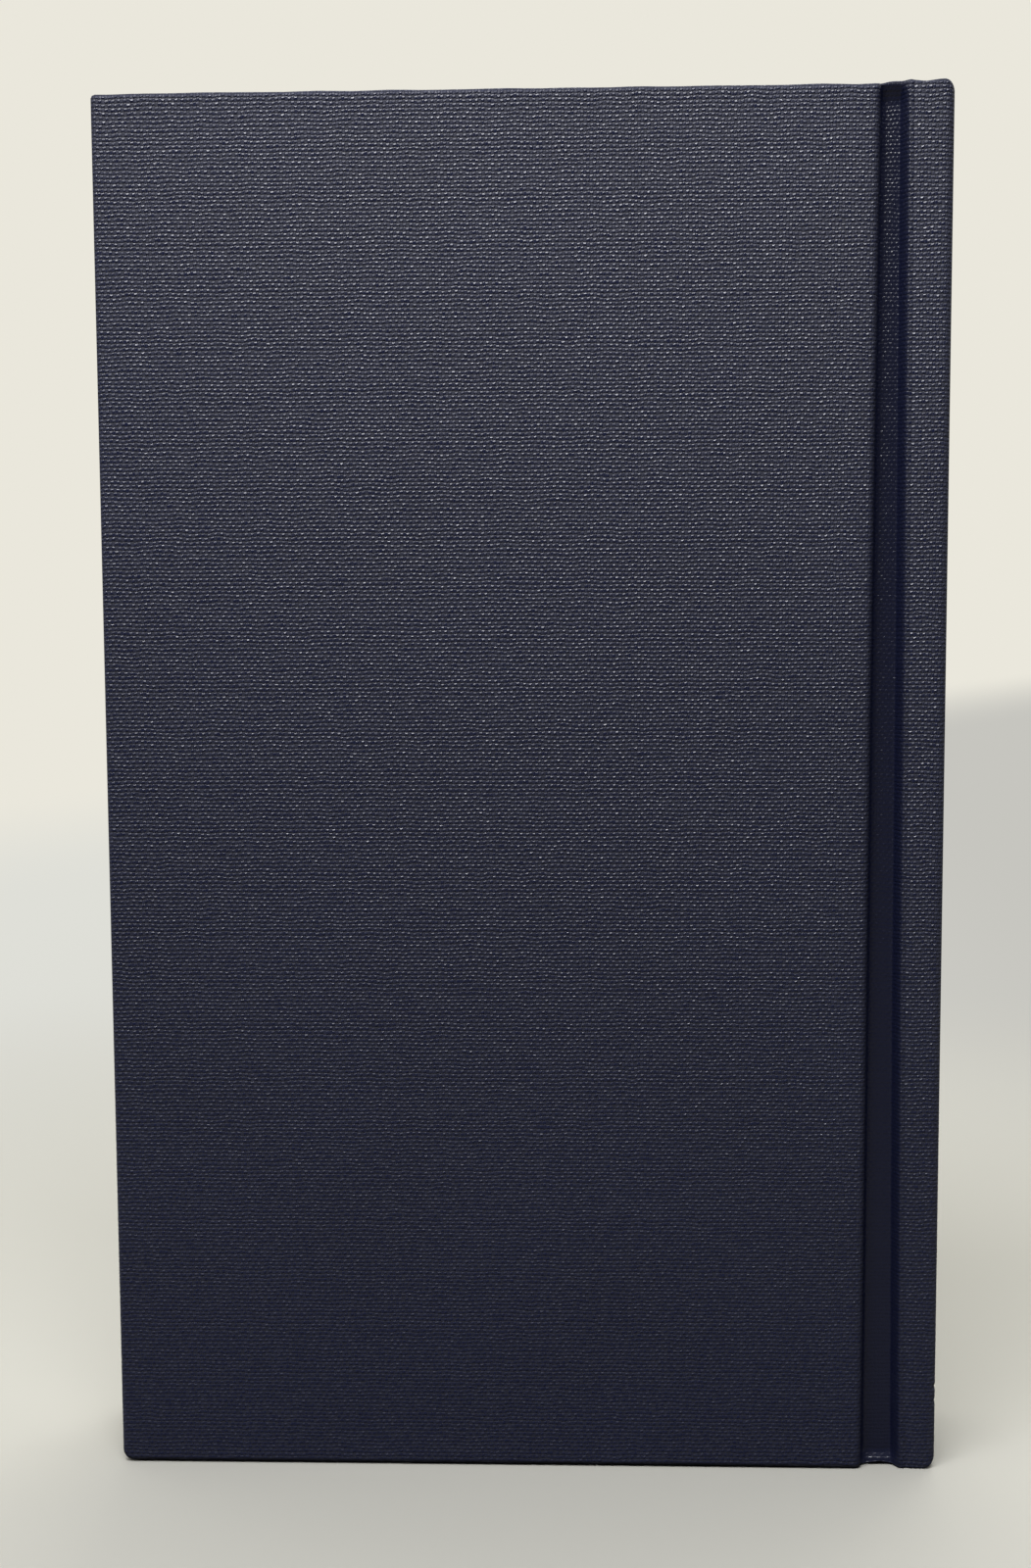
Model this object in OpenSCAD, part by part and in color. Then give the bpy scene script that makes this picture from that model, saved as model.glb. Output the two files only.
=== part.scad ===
// Case-bound hardback book, standing upright on its tail.
// The frame's origin is under the middle of the book, on the surface that it stands on.
// +Z is up, the spine is at +X, the fore edge at -X, the front cover at +Y, the back cover at -Y.
// Every piece is a sheet or a board, so most pieces are a plan outline drawn up along Z.

/* [Case] */
// Height of a cover with its cloth
cover_h = 181.5; // [150:0.5:240]
// How far the spine's cloth stands above the covers at the head
spine_rise = 0.5; // [0:0.1:1]
// Width of the closed book, from the fore edge to the back of the spine
case_w = 110; // [90:0.5:160]
// Thickness of a cover board
board_t = 2.2; // [1.6:0.1:3]
// Thickness of the covering cloth
cloth_t = 0.4; // [0.3:0.05:0.5]
// Width of the cloth that is folded onto a board's inner face
turn_in_w = 15; // [10:0.5:20]
// Radius of the cloth over a board's long edges
edge_r = 0.6; // [0.3:0.1:1]
// Radius of a board's corner at the head of the fore edge
head_corner_r = 0.9; // [0.7:0.1:3]
// Radius of a board's corner at the tail of the fore edge, which is blunted by wear
tail_corner_r = 1.5; // [0.7:0.1:3]

/* [Joint and spine] */
// Width of the pressed groove, from the board's cloth edge to the foot of the shoulder
groove_w = 3.2; // [2.4:0.1:5]
// Width of the raised shoulder, from its foot to the back of the spine
shoulder_w = 6.4; // [6:0.1:9]
// Width of the slope that climbs from the groove to the shoulder's flat
slope_w = 1.2; // [0.8:0.1:1.6]
// How far the shoulder's flat lies below the cover's outer face
shoulder_drop = 0.35; // [0.3:0.05:0.8]
// Radius of the cloth over the spine's two long edges
spine_edge_r = 0.8; // [0.5:0.1:1.2]
// Radius of the cloth at the head and tail corners of the spine
cap_r = 1.4; // [0.8:0.1:2]
// Thickness of the spine stiffener
stiffener_t = 1.2; // [0.6:0.1:1.6]
// Gap of the hollow back, between the spine lining and the case
hollow_gap = 0.15; // [0.1:0.05:0.4]

/* [Text block] */
// Thickness of the pressed leaves
block_t = 14.4; // [8:0.2:40]
// How far the case stands out past the leaves at head, tail and fore edge
square_w = 3; // [2:0.25:5]
// Thickness of an endpaper leaf
paper_t = 0.15; // [0.1:0.01:0.2]
// Gap between the flyleaf and the pastedown of a closed cover
leaf_gap = 0.1; // [0.05:0.01:0.2]
// How far the block's shoulders stay under the turned-in cloth
shoulder_gap = 0.1; // [0.05:0.01:0.2]

/* [Spine linings] */
// Thickness of the mull
mull_t = 0.25; // [0.15:0.01:0.3]
// Width of the mull's wing on each board
mull_wing_w = 25; // [15:1:40]
// Gap between the mull and the turn-ins at head and tail
mull_gap = 1.5; // [0.5:0.25:3]
// Thickness of the kraft spine lining
lining_t = 0.2; // [0.1:0.01:0.3]
// How far the spine lining stops short of the leaves at head and tail
lining_inset = 2; // [1:0.25:6]
// Radius of the bead of a headband or tailband
bead_r = 0.9; // [0.6:0.1:1.2]
// Gap between the tape of a headband or tailband and the mull
band_gap = 3; // [1:0.25:4]

/* [Hidden] */
cloth_col = "#262b3c";
paper_col = "#efe9da";
leaf_col = "#e9e2cf";
board_col = "#8f8b82";
mull_col = "#ddd6c2";
kraft_col = "#b08d5f";
band_col = "#d9cfb4";

// Points on each quarter circle of a rounded outline
arc_steps = 6;
// Overrun of a cut past the faces that it opens
cut = 1;
// Smallest radius that a rounded inner corner keeps
least_r = 0.05;
// Radius of a board's own edges, and of the stiffener's, under the cloth
board_edge_r = max(edge_r - cloth_t, least_r);
stiffener_edge_r = max(spine_edge_r - cloth_t, least_r);

// Height of the spine's cloth, the tallest part of the book
spine_h = cover_h + spine_rise;

// Levels across the book's thickness, from the block's face out to the cover's face
y_block = block_t / 2;
y_fly = y_block + paper_t;
y_paste = y_fly + leaf_gap;
y_turn = y_paste + paper_t;
y_board = y_turn + cloth_t;
y_cloth = y_board + board_t;
y_out = y_cloth + cloth_t;
y_floor = y_board + cloth_t;
y_shoulder = y_out - shoulder_drop;

// Places along the book's width
x_fore = -case_w / 2;
x_back = case_w / 2;
x_foot = x_back - shoulder_w;
x_edge = x_foot - groove_w;
x_hinge = (x_edge + x_foot) / 2;
x_leaf = x_fore + square_w;
x_stiff_out = x_back - cloth_t;
x_stiff_in = x_stiff_out - stiffener_t;
x_turn_in = x_stiff_in - cloth_t;
x_lining_out = x_turn_in - hollow_gap;
x_mull_out = x_lining_out - lining_t;
x_block_out = x_mull_out - mull_t;

// Heights of the leaves and of what is glued to their spine
z_leaf_0 = square_w;
z_leaf_1 = cover_h - square_w;
z_mull_0 = turn_in_w + mull_gap;
z_mull_1 = cover_h - turn_in_w - mull_gap;

// The shoulder's slope: run for each millimetre of rise, and the shift of its corners for each
// millimetre that a layer lies under the cloth's outer face
slope_run = slope_w / (y_shoulder - y_floor);
slope_angle = atan2(1, slope_run);
corner_shift = tan(slope_angle / 2);
y_block_shoulder = y_shoulder - 2 * cloth_t - shoulder_gap;

// Half width of the stiffener
y_card = y_shoulder - cloth_t;

// Foot of the slope for a layer at depth d under the cloth's outer face
function foot_x(d) = x_foot + d * corner_shift;

// Place on the slope of that layer at the level y
function slope_x(d, y) = foot_x(d) + (y - (y_floor - d)) * slope_run;

// Quarter circle of radius r about a centre, from angle a onwards
function quarter(centre, r, a) = [
    for (i = [0:arc_steps]) centre + r * [cos(a + 90 * i / arc_steps), sin(a + 90 * i / arc_steps)]
];

// Rectangle with a radius of its own at each corner: right top, left top, left bottom, right bottom
function rounded(x0, x1, y0, y1, radii) = concat(
    quarter([x1 - radii[0], y1 - radii[0]], radii[0], 0),
    quarter([x0 + radii[1], y1 - radii[1]], radii[1], 90),
    quarter([x0 + radii[2], y0 + radii[2]], radii[2], 180),
    quarter([x1 - radii[3], y0 + radii[3]], radii[3], 270)
);

// The points in the opposite order
function reversed(points) = [for (i = [len(points) - 1:-1:0]) points[i]];

// The points on the back cover's side
function flipped(points) = [for (p = points) [p.x, -p.y]];

// Case's line from the front hinge over the shoulder to the spine's back, at depth d
function shoulder_line(d) = concat(
    [
        [x_hinge, y_floor - d],
        [foot_x(d), y_floor - d],
        [slope_x(d, y_shoulder - d), y_shoulder - d]
    ],
    spine_edge(d, max(spine_edge_r - d, least_r))
);

// Rounded edge of radius r between the shoulder's flat and the spine's back, at depth d
function spine_edge(d, r) = reversed(quarter([x_back - d - r, y_shoulder - d - r], r, 0));

// Line of the turn-in on the inner side of the case, around the stiffener, at depth d
function turn_in_line(d) = [
    [x_hinge, y_floor - d],
    [foot_x(d), y_floor - d],
    [slope_x(d, y_shoulder - d), y_shoulder - d],
    [x_stiff_in + cloth_t - d, y_shoulder - d]
];

// Line of the mull around the shoulder and the block's spine, at depth d in the mull
function mull_line(d) = [
    [x_hinge, y_board - d],
    [foot_x(cloth_t + d), y_board - d],
    [slope_x(cloth_t + d, y_block_shoulder + mull_t - d), y_block_shoulder + mull_t - d],
    [x_mull_out - d, y_block_shoulder + mull_t - d]
];

// Stiffener's outline from above, with its inner face at x_in
function card(x_in) = concat(
    [[x_in, -y_card]],
    quarter([x_stiff_out - stiffener_edge_r, -y_card + stiffener_edge_r], stiffener_edge_r, 270),
    quarter([x_stiff_out - stiffener_edge_r, y_card - stiffener_edge_r], stiffener_edge_r, 0),
    [[x_in, y_card]]
);

// Spine's outline from the front, a depth d inside the cloth's outer face
function caps(d) = concat(
    [[0, d]],
    quarter([x_back - cap_r, cap_r], cap_r - d, 270),
    quarter([x_back - cap_r, spine_h - cap_r], cap_r - d, 0),
    [[0, spine_h - d]]
);

// Sheet around the spine between an outer and an inner line, from hinge to hinge
module wrap(outer, inner) {
    polygon(concat(outer, flipped(reversed(outer)), flipped(inner), reversed(inner)));
}

// Upright prism of the child outline between two heights
module upright(z0, z1) {
    translate([0, 0, z0]) linear_extrude(z1 - z0) children();
}

// Box between two corners
module box(low, high) {
    translate(low) cube(high - low);
}

// Prism along Y of an outline that is drawn in X and Z
module along_y(y0, y1) {
    translate([0, y1, 0]) rotate([90, 0, 0]) linear_extrude(y1 - y0) children();
}

// Prism along X of an outline that is drawn in Y and Z
module along_x(x0, x1) {
    translate([x0, 0, 0]) rotate([90, 0, 90]) linear_extrude(x1 - x0) children();
}

// Board-shaped slab, a depth d inside the cloth's outer face, with long edges of the radius r
module slab(y0, y1, d, r) {
    x0 = x_fore + d;
    x1 = x_edge - d;
    z0 = d;
    z1 = cover_h - d;
    intersection() {
        upright(z0, z1) polygon(rounded(x0, x1, y0, y1, [r, r, r, r]));
        along_x(x0 - cut, x1 + cut) polygon(rounded(y0, y1, z0, z1, [r, r, r, r]));
        along_y(y0 - cut, y1 + cut)
            polygon(rounded(x0, x1, z0, z1, [r, head_corner_r - d, tail_corner_r - d, r]));
    }
}

// Front cover's piece as it is, or mirrored to the back cover
module on_side(side) {
    mirror([0, side < 0 ? 1 : 0, 0]) children();
}

// Greyboard of a cover
module board(side) {
    color(board_col) on_side(side) slab(y_board, y_cloth, cloth_t, board_edge_r);
}

// Cloth of a cover: over the board, turned in around its edges, and down into the groove
module cover_cloth(side) {
    color(cloth_col) on_side(side) difference() {
        union() {
            slab(y_turn, y_out, 0, edge_r);
            box([x_edge - cloth_t - edge_r, y_turn, 0], [x_hinge, y_floor, cover_h]);
        }
        slab(y_board, y_cloth, cloth_t, board_edge_r);
        // The bare inner face, which the turn-ins leave open
        box([x_fore + turn_in_w, y_turn - cut, turn_in_w],
            [x_hinge + cut, y_board, cover_h - turn_in_w]);
    }
}

// Wing of the mull on a board's inner face, from the hinge inwards
module mull_wing(side) {
    color(mull_col) on_side(side)
        box([x_edge - mull_wing_w, y_board - mull_t, z_mull_0], [x_hinge, y_board, z_mull_1]);
}

// Glued half of the endpaper: it drops off the turn-ins onto the board and the mull's wing
module pastedown(side) {
    inner_x = x_fore + turn_in_w;
    wing_x = x_edge - mull_wing_w - paper_t;
    joint_x = x_edge - cloth_t;
    color(paper_col) on_side(side) difference() {
        box([x_leaf, y_paste, z_leaf_0], [x_hinge, y_board, z_leaf_1]);
        // Room of the turn-ins at fore edge, tail and head, and of the cloth in the groove
        for (room = [
            [[x_fore, 0], [inner_x, cover_h]],
            [[x_fore, 0], [x_hinge + cut, turn_in_w]],
            [[x_fore, cover_h - turn_in_w], [x_hinge + cut, cover_h]],
            [[joint_x, 0], [x_hinge + cut, cover_h]]
        ])
            box([room[0].x, y_turn, room[0].y], [room[1].x, y_board + cut, room[1].y]);
        // Room of the mull's wing
        box([wing_x + paper_t, y_board - mull_t, z_mull_0], [x_hinge, y_board + cut, z_mull_1]);
        // Dip of the sheet's free face over the bare board, around the wing
        difference() {
            box([inner_x + paper_t, y_paste - cut, turn_in_w + paper_t],
                [joint_x - paper_t, y_board - paper_t, cover_h - turn_in_w - paper_t]);
            box([wing_x, y_paste - 2 * cut, z_mull_0 - paper_t],
                [joint_x, y_board, z_mull_1 + paper_t]);
        }
        // Dip of the sheet's free face over the wing
        box([wing_x, y_paste - cut, z_mull_0 - paper_t],
            [joint_x - paper_t, y_board - mull_t - paper_t, z_mull_1 + paper_t]);
    }
}

// Free half of the endpaper with its fold on the shoulder and the strip back to the hinge
module flyleaf(side) {
    d_strip = y_floor - y_turn;
    d_strip_in = d_strip + paper_t;
    d_leaf = d_strip_in + leaf_gap;
    d_leaf_in = d_leaf + paper_t;
    y_fold = y_block_shoulder - paper_t;
    color(paper_col) on_side(side) upright(z_leaf_0, z_leaf_1) polygon([
        [x_leaf, y_block],
        [foot_x(d_leaf_in), y_block],
        [slope_x(d_leaf_in, y_block_shoulder), y_block_shoulder],
        [slope_x(d_strip, y_block_shoulder), y_block_shoulder],
        [foot_x(d_strip), y_turn],
        [x_hinge, y_turn],
        [x_hinge, y_paste],
        [foot_x(d_strip_in), y_paste],
        [slope_x(d_strip_in, y_fold), y_fold],
        [slope_x(d_leaf, y_fold), y_fold],
        [foot_x(d_leaf), y_fly],
        [x_leaf, y_fly]
    ]);
}

// All the leaves as one solid, with the shoulders that the backing gives them
module text_block() {
    d = y_floor - y_block;
    half = [
        [x_leaf, y_block],
        [foot_x(d), y_block],
        [slope_x(d, y_block_shoulder), y_block_shoulder],
        [x_block_out, y_block_shoulder]
    ];
    color(leaf_col) upright(z_leaf_0, z_leaf_1) polygon(concat(half, flipped(reversed(half))));
}

// Gauze around the block's spine, from one hinge to the other
module spine_mull() {
    color(mull_col) upright(z_mull_0, z_mull_1) wrap(mull_line(0), mull_line(mull_t));
}

// Kraft strip over the mull and the bands' tapes
module spine_lining() {
    color(kraft_col)
        box([x_mull_out, -y_block_shoulder, z_leaf_0 + lining_inset],
            [x_lining_out, y_block_shoulder, z_leaf_1 - lining_inset]);
}

// Woven band at the head of the block's spine: a tape with a bead along its edge
module end_band() {
    color(band_col) union() {
        box([x_block_out, -y_block_shoulder, z_mull_1 + band_gap],
            [x_mull_out, y_block_shoulder, z_leaf_1 + bead_r]);
        translate([x_block_out + mull_t / 2 - bead_r, y_block_shoulder, z_leaf_1 + bead_r])
            rotate([90, 0, 0]) cylinder(r = bead_r, h = 2 * y_block_shoulder, $fn = 48);
    }
}

// The same band at the tail
module tail_band() {
    translate([0, 0, cover_h]) mirror([0, 0, 1]) end_band();
}

// Card that keeps the spine flat
module spine_stiffener() {
    color(board_col) intersection() {
        upright(cloth_t, spine_h - cloth_t) polygon(card(x_stiff_in));
        along_y(-y_out, y_out) polygon(caps(cloth_t));
    }
}

// Cloth of the spine and of both shoulders, turned in over the stiffener at head and tail
module spine_cloth() {
    color(cloth_col) difference() {
        intersection() {
            union() {
                upright(0, spine_h) wrap(shoulder_line(0), shoulder_line(cloth_t));
                for (z = [0, spine_h - turn_in_w]) {
                    upright(z, z + turn_in_w) wrap(turn_in_line(cloth_t), turn_in_line(2 * cloth_t));
                    upright(z, z + turn_in_w) polygon(card(x_turn_in));
                }
            }
            along_y(-y_out, y_out) polygon(caps(0));
        }
        spine_stiffener();
    }
}

text_block();
flyleaf(1);  // front_flyleaf
flyleaf(-1);  // back_flyleaf
spine_mull();
spine_lining();
end_band();  // headband
tail_band();  // tailband
spine_stiffener();
spine_cloth();
board(1);  // front_board
cover_cloth(1);  // front_cover_cloth
mull_wing(1);  // front_mull_wing
pastedown(1);  // front_pastedown
board(-1);  // back_board
cover_cloth(-1);  // back_cover_cloth
mull_wing(-1);  // back_mull_wing
pastedown(-1);  // back_pastedown
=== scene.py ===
import logging
import math
from dataclasses import dataclass
from enum import Enum, auto
from typing import Callable

import bpy
import numpy as np
from mathutils import Matrix, Vector


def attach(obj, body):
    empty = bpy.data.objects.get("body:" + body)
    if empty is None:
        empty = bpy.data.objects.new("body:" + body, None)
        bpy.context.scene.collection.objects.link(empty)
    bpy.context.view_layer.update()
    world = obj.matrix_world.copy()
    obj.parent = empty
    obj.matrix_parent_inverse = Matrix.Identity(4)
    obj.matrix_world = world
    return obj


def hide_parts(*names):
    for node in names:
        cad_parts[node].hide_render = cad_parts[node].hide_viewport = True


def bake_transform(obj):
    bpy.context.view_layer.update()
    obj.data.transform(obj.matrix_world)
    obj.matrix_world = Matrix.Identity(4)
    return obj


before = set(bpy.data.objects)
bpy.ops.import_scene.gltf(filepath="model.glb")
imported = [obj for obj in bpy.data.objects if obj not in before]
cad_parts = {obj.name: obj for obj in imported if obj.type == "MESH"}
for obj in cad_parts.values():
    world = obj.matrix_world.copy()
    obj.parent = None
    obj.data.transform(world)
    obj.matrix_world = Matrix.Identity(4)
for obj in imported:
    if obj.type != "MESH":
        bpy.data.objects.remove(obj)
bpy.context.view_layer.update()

logging.basicConfig(level=logging.INFO, format="%(message)s")
LOG = logging.getLogger("hardback_book")

MM = 0.001
FLAT_MAP = "cloth_flat"
# The wear map holds the ironing share, which also lays painted shade over the groove, and the edge wear
WEAR_AND_SHADE_MAP = "cloth_wear_and_shade"
LEAF_MAP = "leaf_count"
SHEET_MAP = "paper_flat"
THREAD_MAP = "band_turns"
SWEEP_MAP = "sweep_run"


class Side(Enum):
    """The two halves of the case, with the sign of Y that each lies on."""

    FRONT = 1
    BACK = -1

    @property
    def body(self) -> str:
        """Name of the body that this side's cover moves with."""
        return f"{self.name.lower()}_cover"

    def node(self, part: str) -> str:
        """Name of this side's CAD node of that part."""
        return f"{self.name.lower()}_{part}"


def linear(colour: str) -> tuple[float, float, float, float]:
    """Turns an sRGB colour into a linear one.

    Args:
        colour: A hex colour such as #20304a.

    Returns:
        Red, green, blue and an opaque alpha.
    """
    channels = (int(colour[i:i + 2], 16) / 255 for i in (1, 3, 5))
    red, green, blue = (c / 12.92 if c <= 0.04045 else ((c + 0.055) / 1.055) ** 2.4 for c in channels)
    return red, green, blue, 1.0


def add_node(tree: bpy.types.NodeTree, kind: str, *inputs: object,
             named: dict[str | int, object] | None = None, **settings: object) -> bpy.types.Node:
    """Adds a shader node with its settings and links.

    Args:
        tree: The node tree that it goes into.
        kind: The node's type.
        inputs: What goes into the first sockets in order: a value, a socket or a node, whose first
            output is then used. None leaves the socket as it is.
        named: The same for sockets that are picked by name or by number.
        settings: The node's own properties.

    Returns:
        The new node.
    """
    node = tree.nodes.new(kind)
    for name, value in settings.items():
        setattr(node, name, value)
    for key, value in [*enumerate(inputs), *(named or {}).items()]:
        if value is None:
            continue
        if isinstance(value, bpy.types.Node):
            value = value.outputs[0]
        if isinstance(value, bpy.types.NodeSocket):
            tree.links.new(value, node.inputs[key])
        else:
            node.inputs[key].default_value = value
    return node


def new_material(name: str) -> tuple[bpy.types.Material, bpy.types.NodeTree]:
    """Makes an empty node material.

    Args:
        name: The material's name.

    Returns:
        The material and its node tree.
    """
    material = bpy.data.materials.new(name)
    material.use_nodes = True
    material.node_tree.nodes.clear()
    return material, material.node_tree


@dataclass(frozen=True)
class FilledBookCloth:
    """Filled book cloth: dyed cotton in plain weave, starch filled and calendered.

    The filler half buries the threads, so each crossing is a low glossy crown that glints where it
    tilts to the light; the gaps between the crowns are painted darker than the dye, a painted shade.
    The joint iron flattens the weave in the groove, whose colour is darker too: the pressed cloth and
    painted shade in the recess. Over the boards' edges the filler breaks and goes dull. Sizes are in
    millimetres.
    """

    dye: str = "#1a2145"
    crown: str = "#222a50"
    # Painted shade: the gaps between the crowns are painted darker than the dye
    gap: str = "#0b0f22"
    # The groove's colour: the pressed cloth, and painted shade in the recess
    ironed_and_shade: str = "#161b38"
    rubbed: str = "#4a4f5f"
    thread_pitch: tuple[float, float] = (0.405, 0.53)
    crown_height: float = 0.106
    warp_level: float = 0.6
    # How far the yarn's twist slants a crown
    twist: float = 0.28
    # The threads wander by this many threads, over this distance
    wander: tuple[float, float, float] = (1.3, 1.1, 0.0)
    wander_size: float = 2.5
    patch_size: float = 22.222
    lint_size: float = 1.1111
    # Slubs to a thread, and how high the yarn stands where it is thin and where it is thick
    slubs: float = 0.7
    slub_height: tuple[float, float] = (0.68, 1.26)
    crown_roughness: tuple[float, float] = (0.27, 0.61)
    gap_roughness: float = 0.75
    ironed_roughness: float = 0.3
    rubbed_dulling: float = 0.3
    # Share of the relief that the joint iron leaves
    ironed_relief: float = 0.42
    # The filler lies thicker near the tail: up to this height, and the relief that it leaves at the tail
    filled_height: float = 75.0
    filled_relief: float = 0.62
    gloss: float = 1.0
    ior: float = 1.57

    def build(self) -> bpy.types.Material:
        """Makes the cloth's material.

        Returns:
            The new material.
        """
        material, tree = new_material("filled_book_cloth")
        flat = add_node(tree, "ShaderNodeUVMap", uv_map=FLAT_MAP)
        wear = add_node(tree, "ShaderNodeSeparateXYZ", add_node(tree, "ShaderNodeUVMap", uv_map=WEAR_AND_SHADE_MAP))
        # The ironing share also lays painted shade over the groove
        ironing, rubbing = wear.outputs[0], wear.outputs[1]
        threads = self.threads(tree, flat)
        height = self.weave(tree, threads)
        add_node(tree, "ShaderNodeOutputMaterial", add_node(tree, "ShaderNodeBsdfPrincipled", named={
            "Base Color": self.colour(tree, flat, height, ironing, rubbing),
            "Roughness": self.roughness(tree, threads, height, ironing, rubbing),
            "Normal": self.relief(tree, flat, height, ironing),
            "IOR": self.ior, "Specular IOR Level": self.gloss}))
        return material

    def threads(self, tree: bpy.types.NodeTree, flat: bpy.types.Node) -> bpy.types.Node:
        """Counts the sheet's millimetres in threads, which wander and slant a little.

        Args:
            tree: The material's tree.
            flat: The sheet's coordinates in millimetres.

        Returns:
            The position counted in threads.
        """
        wobble = add_node(tree, "ShaderNodeTexNoise", flat, named={
            "Scale": 1 / self.wander_size, "Detail": 3.0})
        centred = add_node(tree, "ShaderNodeVectorMath", wobble.outputs["Color"], (0.5, 0.5, 0.5),
                           operation="SUBTRACT")
        drift = add_node(tree, "ShaderNodeVectorMath", centred, self.wander, operation="MULTIPLY")
        count = add_node(tree, "ShaderNodeVectorMath", flat, (*self.thread_pitch, 1.0), operation="DIVIDE")
        straight = add_node(tree, "ShaderNodeVectorMath", count, drift, operation="ADD")
        turns = add_node(tree, "ShaderNodeMath", add_node(tree, "ShaderNodeSeparateXYZ", straight),
                         2 * math.pi, operation="MULTIPLY")
        slant = add_node(tree, "ShaderNodeMath", add_node(tree, "ShaderNodeMath", turns, operation="SINE"),
                         self.twist / (2 * math.pi), operation="MULTIPLY")
        return add_node(tree, "ShaderNodeVectorMath", straight,
                        add_node(tree, "ShaderNodeCombineXYZ", None, slant), operation="ADD")

    def weave(self, tree: bpy.types.NodeTree, threads: bpy.types.Node) -> bpy.types.Node:
        """Builds the plain weave's height.

        Args:
            tree: The material's tree.
            threads: The position counted in threads.

        Returns:
            The height, from 0 to about 1.
        """
        turns = add_node(tree, "ShaderNodeVectorMath", threads, (math.pi, math.pi, 0.0), operation="MULTIPLY")
        wave = add_node(tree, "ShaderNodeVectorMath", turns, operation="SINE")
        swing = add_node(tree, "ShaderNodeSeparateXYZ", wave)
        parity, ridge = (add_node(tree, "ShaderNodeSeparateXYZ",
                                  add_node(tree, "ShaderNodeVectorMath", wave, operation=kind))
                         for kind in ("SIGN", "ABSOLUTE"))
        layers = []
        # Warp, then weft: its own axis and the other's, how far it swings about which middle, how high
        # its crowns stand, and how flat they are
        for own, other, swell, middle, level, flat_top in ((0, 1, 0.5, 0.42, self.warp_level, 0.7),
                                                          (1, 0, -0.42, 0.6, 1.0, 1.0)):
            over = add_node(tree, "ShaderNodeMath", parity.outputs[own], swing.outputs[other],
                            operation="MULTIPLY")
            long = add_node(tree, "ShaderNodeMapRange", over, -0.8, 0.8, -1.0, 1.0,
                            interpolation_type="SMOOTHSTEP")
            lift = add_node(tree, "ShaderNodeMath", long, swell, middle, operation="MULTIPLY_ADD")
            back = add_node(tree, "ShaderNodeMath", ridge.outputs[own], flat_top, operation="POWER")
            thread = add_node(tree, "ShaderNodeMath", back, lift, operation="MULTIPLY")
            layers.append(add_node(tree, "ShaderNodeMath", thread, level, operation="MULTIPLY"))
        height = add_node(tree, "ShaderNodeMath", *layers, 0.15, operation="SMOOTH_MAX")
        # Yarns are spun unevenly: some crossings stand higher than their neighbours
        slub = add_node(tree, "ShaderNodeTexNoise", threads, named={"Scale": self.slubs, "Detail": 1.0})
        uneven = add_node(tree, "ShaderNodeMapRange", slub, 0.3, 0.7, *self.slub_height)
        return add_node(tree, "ShaderNodeMath", height, uneven, operation="MULTIPLY")

    def colour(self, tree: bpy.types.NodeTree, flat: bpy.types.Node, height: bpy.types.Node,
               ironing: bpy.types.NodeSocket, rubbing: bpy.types.NodeSocket) -> bpy.types.NodeSocket:
        """Lays the tones over the dye: faint patches, painted shade in the gaps, the groove's darker colour
        (pressed cloth and painted shade) and rubbed fibre.

        Args:
            tree: The material's tree.
            flat: The sheet's coordinates in millimetres.
            height: The weave's height.
            ironing: How far the joint iron has pressed the cloth, which here also lays painted shade over the
                groove.
            rubbing: How far an edge has worn it.

        Returns:
            The colour's socket.
        """
        patch = add_node(tree, "ShaderNodeTexNoise", flat, named={
            "Scale": 1 / self.patch_size, "Detail": 3.0})
        patchy = add_node(tree, "ShaderNodeMapRange", patch, 0.35, 0.7, 0.0, 0.35)
        # Painted shade: the lower the weave, the darker its colour
        sunk_shade = add_node(tree, "ShaderNodeMapRange", height, 0.1, 0.5, 1.0, 0.0)
        # Rare lint specks everywhere, and broken fibre along worn edges
        lint = add_node(tree, "ShaderNodeTexNoise", flat, named={"Scale": 1 / self.lint_size, "Detail": 4.0})
        rare = add_node(tree, "ShaderNodeMapRange", lint, 0.735, 0.77, 0.0, 0.5)
        fray = add_node(tree, "ShaderNodeMapRange", lint, 0.5, 0.75, 0.0, 0.35)
        worn = add_node(tree, "ShaderNodeMath", fray, rubbing, operation="MULTIPLY")
        specks = add_node(tree, "ShaderNodeMath", rare, worn, operation="MAXIMUM")
        colour: object = linear(self.dye)
        for share, over in ((patchy, self.crown), (sunk_shade, self.gap), (ironing, self.ironed_and_shade),
                            (specks, self.rubbed)):
            colour = add_node(tree, "ShaderNodeMix", share, named={6: colour, 7: linear(over)},
                              data_type="RGBA").outputs[2]
        return colour

    def roughness(self, tree: bpy.types.NodeTree, threads: bpy.types.Node, height: bpy.types.Node,
                  ironing: bpy.types.NodeSocket, rubbing: bpy.types.NodeSocket) -> bpy.types.Node:
        """Gives the roughness: only the polished crowns are glossy, and the gaps hold bare fibre.

        Args:
            tree: The material's tree.
            threads: The position counted in threads.
            height: The weave's height.
            ironing: How far the joint iron has pressed the cloth.
            rubbing: How far an edge has worn it.

        Returns:
            The node that gives the roughness.
        """
        crossing = add_node(tree, "ShaderNodeVectorMath", threads, operation="FLOOR")
        glint = add_node(tree, "ShaderNodeTexWhiteNoise", crossing, noise_dimensions="2D")
        crest = add_node(tree, "ShaderNodeMapRange", glint, 0.0, 1.0, *self.crown_roughness)
        rough = add_node(tree, "ShaderNodeMapRange", height, 0.22, 0.5, self.gap_roughness, crest)
        worn = add_node(tree, "ShaderNodeMath", rubbing, self.rubbed_dulling, rough,
                        operation="MULTIPLY_ADD")
        return add_node(tree, "ShaderNodeMix", ironing, None, worn, self.ironed_roughness)

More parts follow.
